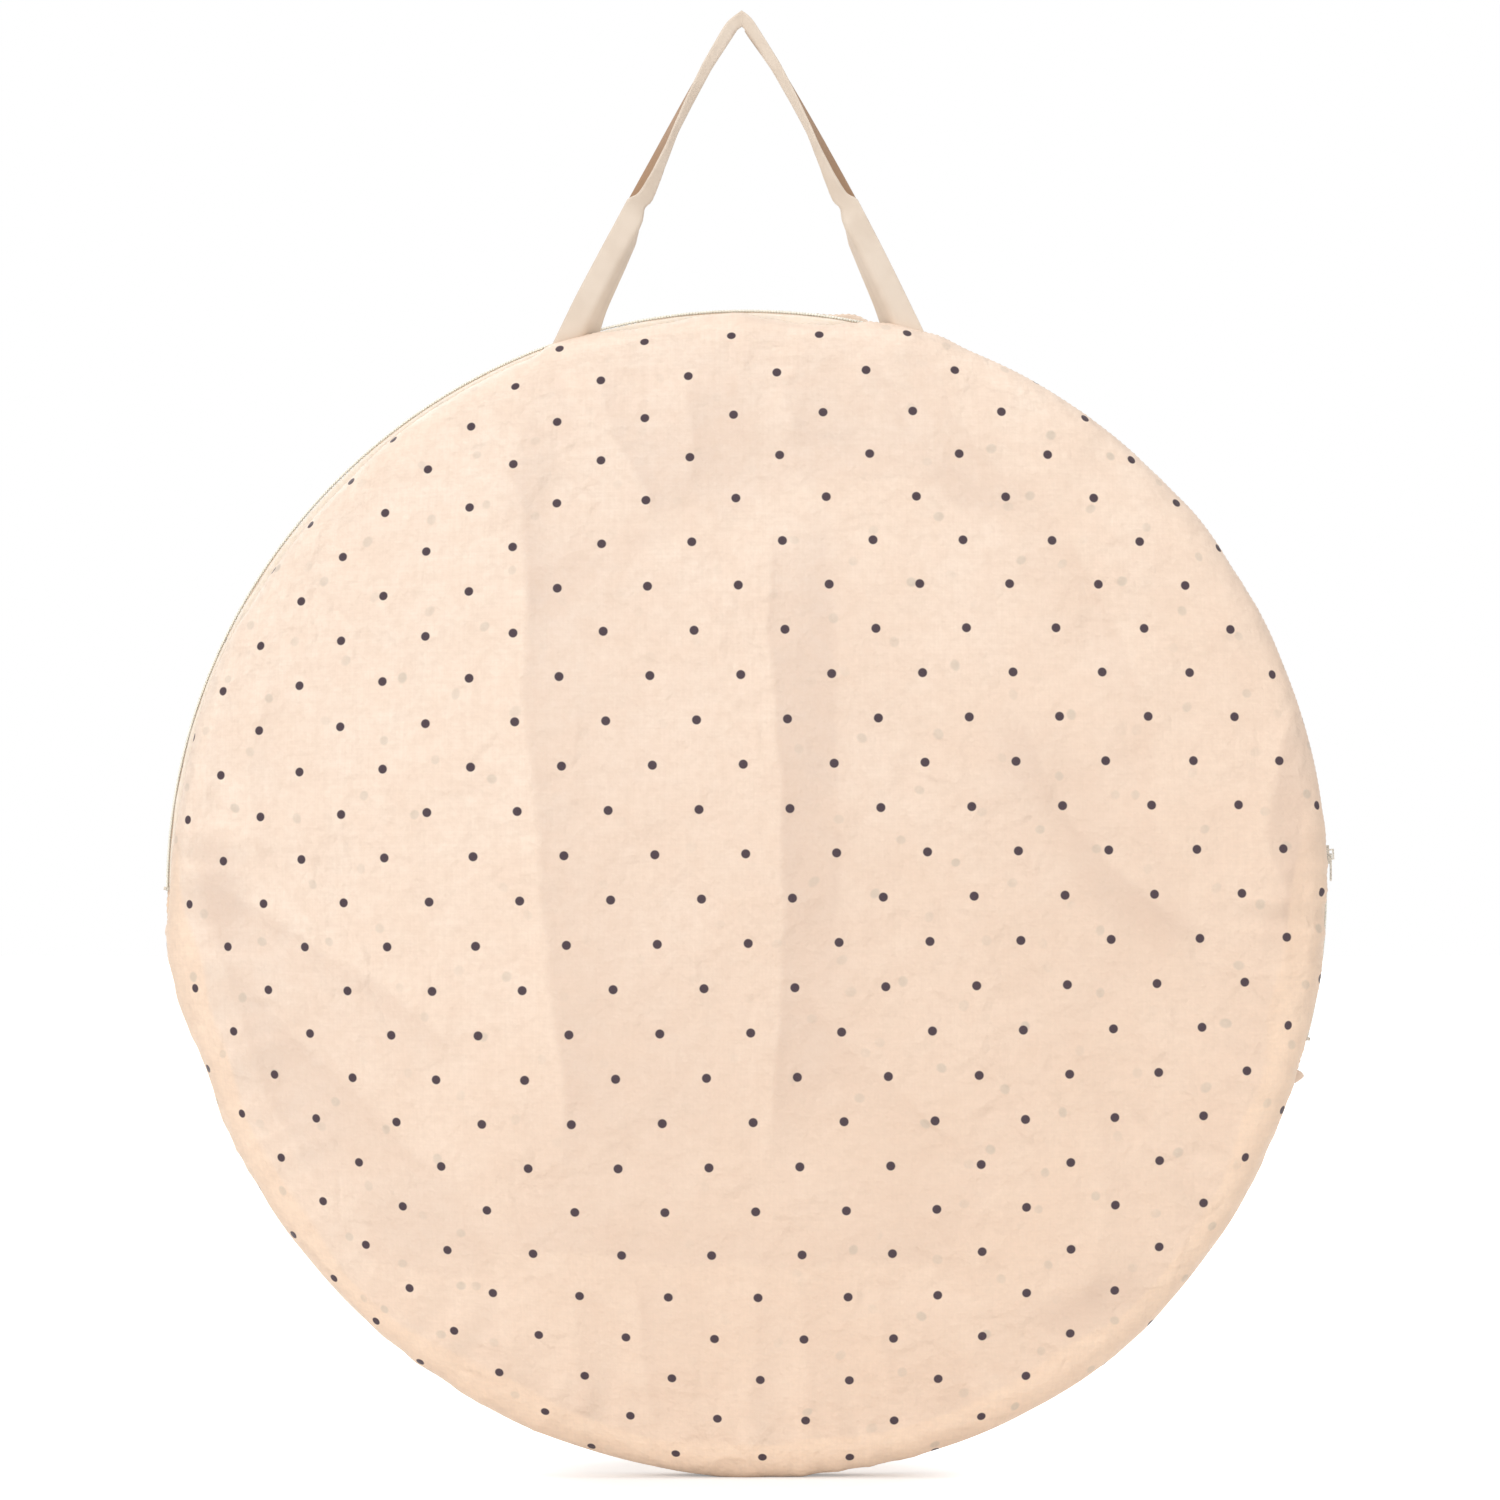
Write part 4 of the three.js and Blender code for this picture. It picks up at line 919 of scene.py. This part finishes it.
def coil(node, side):
    """A row of nylon loops, each wrapped over the tape's edge."""
    low, high = corners(node)
    count = int(math.radians(ZIP_TO - ZIP_FROM) * zip_radius / TOOTH_PITCH)
    per_turn, sides = 8, 5
    turn = np.linspace(0, 2 * math.pi * count, per_turn * count + 1)
    angle = ZIP_FROM + (ZIP_TO - ZIP_FROM) * turn / turn[-1]
    reach_y = (high[1] - low[1]) / 2 - TOOTH_RADIUS + COIL_LAP
    r = zip_radius - COIL_DEPTH + (COIL_DEPTH - TOOTH_RADIUS) * np.cos(turn)
    path = on_ring(angle, r, (low[1] + high[1]) / 2 + side * reach_y * np.sin(turn))
    tangent = unit(np.gradient(path, axis=0))
    first = unit(np.cross(tangent, on_ring(angle + 90, 1.0, 0.0) - hub))
    second = np.cross(tangent, first)
    ring = np.linspace(0, 2 * math.pi, sides, endpoint=False)[None, :, None]
    spokes = np.cos(ring) * first[:, None] + np.sin(ring) * second[:, None]
    points = path[:, None] + TOOTH_RADIUS * spokes
    faces = rod_faces(len(path), sides)
    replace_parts(make_piece(f"{node}_teeth", points, faces, NYLON, "bag"), node)


coil("zip_coil_front", -1)
coil("zip_coil_back", 1)


def dress(node, look, bevel=None):
    """A CAD node keeps its shape and gets a finish, and a small bevel where its edges are hard."""
    piece = frame["nodes"][node]
    piece.data.materials.clear()
    piece.data.materials.append(look)
    if bevel:
        rounded = piece.modifiers.new("edges", "BEVEL")
        rounded.width = bevel * MM
        rounded.segments = 2
        rounded.limit_method = "ANGLE"


for node in ("zip_slider", "zip_pull", "zip_stop_left", "zip_stop_right"):
    dress(node, PAINTED, 0.12)
for wall in HOOPS:
    dress(f"{wall}_hoop", SPRING_STEEL)
    dress(f"{wall}_ferrule", FERRULE_STEEL)

UNDER_SEAM = 1.7  # how far a strip in the lower seam keeps inside the face over it


def ribbon(name, node, outline, angle, look, wall, sway, seed, mapped=NARROW_SPAN):
    """A thin strip of cloth round the bag: its section's middle line, as (radius, y), swept round."""
    outline = np.array(outline, float)
    along = np.radians(angle) * zip_radius
    across = run_length(outline)[None]
    run = unit(np.gradient(outline, axis=0))
    normal = np.stack([-run[:, 1], run[:, 0]], axis=1) * wall / 2
    loop = np.concatenate([outline + normal, (outline - normal)[::-1]])
    drift = sway * waves(along, 0, 26, seed, 12)
    outermost = outline[:, 0].max()
    if outermost < zip_radius - 3:  # in the lower seam, not the zip
        drift += np.minimum(around(FRONT_REACH, angle) - UNDER_SEAM - outermost, 0)
    points = np.stack([on_ring(angle, r + drift, y) for r, y in loop], axis=1)
    across = np.concatenate([across, across[:, ::-1]], axis=1)
    uv = np.stack(np.broadcast_arrays(along[:, None], across), axis=-1)
    faces = rod_faces(*points.shape[:2])
    piece = make_piece(name, points, faces, look, "bag", uv / mapped + 0.5)
    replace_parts(piece, node)
    return piece


def folded_strip(node, radius, gap):
    """Section of a strip folded lengthwise: two layers a gap apart, closed round at its front edge."""
    edge_y, far = (corner[1] for corner in corners(node))
    fold = [(radius + gap / 2 * math.cos(t), edge_y + gap / 2 * (1 - math.sin(t)))
            for t in np.linspace(0, math.pi, 7)]
    return [(radius + gap / 2, far), *fold, (radius - gap / 2, far)]


TAPE_WALL, TAPE_SWAY = 0.44, 0.15
MARGIN_DEPTH, LIP_DEPTH = 7.1, 2.1  # how far inside the zip's radius the tape starts, and turns in
STAND_Y = 1.3  # where the front tape stands; the back one stands as far from the zip's middle


def tape_section(side):
    """Middle line of one side of the zip's tape: from under the hem, up beside the chain, and in."""
    margin_r, lip_r = zip_radius - MARGIN_DEPTH, zip_radius - LIP_DEPTH
    if side < 0:
        margin_y, edge_y = corners("zip_tape_front")[0][1] + 0.2, coil_front_high[1]
    else:
        margin_y, edge_y = corners("zip_tape_back")[1][1] - 0.2, coil_back_low[1]
    stand_y = seam_y + side * (seam_y - STAND_Y)
    return [
        (margin_r, margin_y), (margin_r, stand_y + side * 0.9), (margin_r + 0.3, stand_y + side * 0.25),
        (margin_r + 1.0, stand_y), (lip_r - 1.0, stand_y), (lip_r - 0.25, stand_y - side * 0.25),
        (lip_r, stand_y - side * 1.0), (lip_r, (stand_y + edge_y) / 2), (lip_r, edge_y),
    ]


tape_angle = np.arange(ZIP_FROM - 3, ZIP_TO + 3.01, 0.5)
for face, side, seed in (("front", -1, 70), ("back", 1, 72)):
    ribbon(
        f"zip_tape_{face}_woven", f"zip_tape_{face}", tape_section(side), tape_angle, TAPE,
        TAPE_WALL, TAPE_SWAY, seed,
    )

binding = ribbon(
    "seam_binding_cloth", "seam_binding", folded_strip("seam_binding", 275.1, 0.34),
    np.arange(190, 335.01, 0.5), TENT_CLOTH, 0.16, 0.1, 81, CLOTH_SPAN,
)
label = ribbon(
    "care_label_satin", "care_label", folded_strip("care_label", 274.4, 0.18),
    np.arange(300, 306.01, 0.25), TAPE, 0.1, 0.05, 83,
)

TAB_WIDTH, TAB_DEPTH = math.radians(1.6), 8.0  # round the rim, and how far in it starts
TAB_MAP = np.array([26.5, 12.0])  # the corner of its cloth on the map


def end_tab(node, tip, angle, seed):
    """A folded tab of cloth over an end of the zip: a pleated corner that stands out past the rim."""
    y0, y1 = (corner[1] for corner in corners(node))
    half = TAB_WIDTH / 2 * zip_radius
    outline = [  # outwards from the zip's radius, and round the rim
        (-TAB_DEPTH, -half), (-4, -half), (-0.2, -half + 0.1), (tip * 0.55, -half * 0.1),
        (tip, half * 0.5), (tip * 0.62, half * 0.8), (tip * 0.3, half), (-3, half), (-TAB_DEPTH, half),
    ]
    rows = []
    for share in np.linspace(0, 1, 9):
        y = y0 + (y1 - y0) * share + 0.14 * math.sin(share * math.pi * 2 + seed)
        squeeze = 1 - 0.12 * (2 * share - 1) ** 2
        out, arc = np.array(outline).T * squeeze
        rows.append(on_ring(angle + np.degrees(arc / zip_radius), zip_radius + out, y))
    rows = np.array(rows)
    flat = np.stack(np.meshgrid(np.arange(rows.shape[1]) * 2.2, np.arange(rows.shape[0]) * 1.0), axis=-1)
    uv = (flat + TAB_MAP) / CLOTH_SPAN + 0.5
    faces = rod_faces(*rows.shape[:2], closed=False)
    piece = make_piece(f"{node}_cloth", rows, faces, TENT_CLOTH, "bag", uv)
    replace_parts(piece, node)
    rounded = piece.modifiers.new("soft", "SUBSURF")
    rounded.levels = rounded.render_levels = 2


TAB_OFFSET = 3 + 0.8 + math.degrees(0.3 / zip_radius)
end_tab("zip_end_tab_right", 3.9, ZIP_FROM - TAB_OFFSET, 0.4)
end_tab("zip_end_tab_left", 1.2, ZIP_TO + TAB_OFFSET, 1.3)

# ---- The folded tent ----

LAYERS = 8  # of one wall's cloth, folded up in the bag
LAYER_PITCH = 0.88
LAYER_REACH = 0.82  # of the hoop's radius
WALL_PITCH = 7.9

SLEEVE_WALL = 1.1  # from the hoop's wires to the sleeve's middle


def tent_wall(wall, index):
    """One wall of the tent, folded in layers, with a sleeve of the same cloth round its hoop."""
    low, high = corners(f"{wall}_hoop")
    hoop_y = (low[1] + high[1]) / 2
    coil_radius = (high[1] - low[1]) / 2
    ring = (high[0] - low[0]) / 2 - coil_radius  # the hoop's middle
    sleeve = coil_radius + SLEEVE_WALL
    reach, inmost = LAYER_REACH * ring, 3.0
    web = ring - sleeve - 1
    line = [(ring + sleeve * math.cos(t), hoop_y + sleeve * math.sin(t))
            for t in np.radians(np.linspace(-168, 168, 25))]
    ys = [(index - 1) * WALL_PITCH + ((LAYERS - 1) / 2 - k) * LAYER_PITCH for k in range(LAYERS)]
    line += [(r, ys[0] + (hoop_y + 0.5 - ys[0]) * smooth((r - reach) / (web - reach)))
             for r in np.linspace(web, reach, 6)]
    for k, y in enumerate(ys):
        ends, bulge = ((reach - 1, inmost), -0.4) if k % 2 == 0 else ((inmost, reach - 1), 0.4)
        line += [(r, y) for r in np.linspace(*ends, 26)]
        if k < LAYERS - 1:
            line.append((ends[1] + bulge, y - LAYER_PITCH / 2))
    r, y = np.array(line).T[:, :, None]
    angle = np.linspace(0, 360, 144, endpoint=False)
    cos, sin = heading(angle)
    across, up = r * cos, r * sin
    inside = smooth((reach + 6 - r) / 30)
    rumple = 0.35 * waves(across, up, 90, 91 + index) + 0.2 * waves(across, up, 40, 95 + index)
    points = on_ring(angle, r, y + inside * rumple)
    uv = np.stack([across, up], axis=-1) / CLOTH_SPAN + 0.5
    faces = grid_faces(*across.shape)
    piece = make_piece(f"tent_{wall}_cloth", points, faces, TENT_CLOTH, "bag", uv)
    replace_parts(piece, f"tent_{wall}")


for index, wall in enumerate(HOOPS):
    tent_wall(wall, index)

# ---- Stitching ----

STITCH_LENGTH, STITCH_PITCH, THREAD_RADIUS = 2.2, 3.0, 0.22
# Share of the way along a stitch, and how far its thread lies above the cloth there.
STITCH_RISE = np.array([(0.0, -0.25), (0.2, 0.12), (0.5, 0.22), (0.8, 0.12), (1.0, -0.25)])


def stitches(name, places, outward):
    """A row of machine stitches along a line of places on the cloth, each a short raised thread."""
    run = run_length(places)
    starts = np.arange(0.5, run[-1] - STITCH_LENGTH, STITCH_PITCH)
    at = starts[:, None] + STITCH_RISE[:, 0] * STITCH_LENGTH
    path, out = (
        np.stack([np.interp(at, run, part) for part in table.T], axis=-1) for table in (places, outward)
    )
    path = path + out * STITCH_RISE[:, 1:]
    ahead = unit(np.gradient(path, axis=1))
    aside = unit(np.cross(ahead, out))
    top = np.cross(aside, ahead)
    rings = np.stack([path + THREAD_RADIUS * (math.cos(t) * aside + math.sin(t) * top)
                      for t in np.linspace(0, 2 * math.pi, 5, endpoint=False)], axis=2)
    count, stations, sides = rings.shape[:3]
    first = (np.arange(count) * stations * sides)[:, None, None]
    faces = (grid_faces(stations, sides)[None] + first).reshape(-1, 4)
    make_piece(name, rings, faces, THREAD, "bag")


def hem_row(points, below):
    """The ring of a panel's points that lies next to its hem's edge, over the mouth."""
    ring = points[-len(HEM_FOLD) - 1 - below]
    shift = int(round((MOUTH_FROM % 360) / 360 * COLUMNS))
    count = int(round((MOUTH_TO - MOUTH_FROM) / 360 * COLUMNS))
    ring = np.roll(ring, -shift, axis=0)[:count]
    return ring, unit((ring - hub) * (1, 0, 1))


stitches("front_hem_stitching", *hem_row(front_points, 2))
stitches("back_hem_stitching", *hem_row(back_points, 1))

# ---- Floor, light and camera ----

FLOOR_Z = -703.5
FLOOR_REACH = 9000.0
AIM = (0, 0, -420)  # where the lamps point
PHOTO_WIDTH = 722.3  # what the photograph's frame is wide at the bag
PHOTO_CENTRE = (4.3, -354.1)
CAMERA_DISTANCE = 3600.0
SENSOR = 36.0
WHITE = (1, 1, 1, 1)
LAMPS = (  # name, place, size, power in watts
    ("key", (-1500, -2300, 700), 1500, 28.5),
    ("fill", (1900, -1900, -300), 1500, 12.5),
    ("overhead", (0, -300, 1500), 1600, 11),
    ("rear", (-900, 2100, 900), 1500, 18),
)


def lay_floor():
    """White paper that takes the bag's shadow, and a painted shade close under the bag where its glow to
    the camera is weaker.
    """
    mesh = bpy.data.meshes.new("floor_sheet")
    r, z = FLOOR_REACH * MM, FLOOR_Z * MM
    mesh.from_pydata([(-r, -r, z), (r, -r, z), (r, r, z), (-r, r, z)], [], [(0, 1, 2, 3)])
    place_object("floor_sheet", mesh)
    look = Look("floor_paper", 0.9, Specular_IOR_Level=0.0)
    place = look.on_piece()
    grain = look.between(look.noise(place, 3.0), 0.3, 0.7)
    look.colour(look.mix(grain, (0.86, 0.86, 0.86, 1), (0.84, 0.84, 0.84, 1)))
    out = look.vector("LENGTH", look.vector("MULTIPLY", place, (1, 1, 0)))
    # painted shade: the glow that the camera sees is weaker within about 0.2 m of the bag, so the floor
    # there shows grey
    far = look.between(out, 0.07, 0.19, 0.27, 1.0)
    look.shader.inputs["Emission Color"].default_value = WHITE
    look.feed(look.shader.inputs["Emission Strength"], look.math("MULTIPLY", far, look.directly_seen()))
    mesh.materials.append(look.material)


def light_world():
    """A white surround to the camera and to reflections, and a dimmer one to everything else."""
    world = bpy.data.worlds.new("studio")
    bpy.context.scene.world = world
    sky = Nodes(world)
    dim, white = (
        sky.node("Background", {"Color": WHITE, "Strength": power}).outputs[0] for power in (0.545, 1.0)
    )
    mixed = sky.node("MixShader", {0: sky.directly_seen(), 1: dim, 2: white}).outputs[0]
    sky.feed(sky.tree.nodes["World Output"].inputs["Surface"], mixed)


def studio():
    lay_floor()
    light_world()
    for name, place, size, power in LAMPS:
        lamp = bpy.data.lights.new(name, "AREA")
        lamp.size = size * MM
        lamp.energy = power
        holder = place_object(name, lamp, place)
        holder.rotation_mode = "QUATERNION"
        holder.rotation_quaternion = Vector(np.array(AIM) - np.array(place)).to_track_quat("-Z", "Y")

    camera = bpy.data.cameras.new("camera")
    camera.sensor_width = SENSOR
    camera.lens = SENSOR * CAMERA_DISTANCE / PHOTO_WIDTH
    camera.clip_end = 100
    holder = place_object("camera", camera, (PHOTO_CENTRE[0], -CAMERA_DISTANCE, PHOTO_CENTRE[1]))
    holder.rotation_euler = (math.pi / 2, 0, 0)
    bpy.context.scene.camera = holder
    bpy.context.scene.view_settings.view_transform = "Standard"


studio()
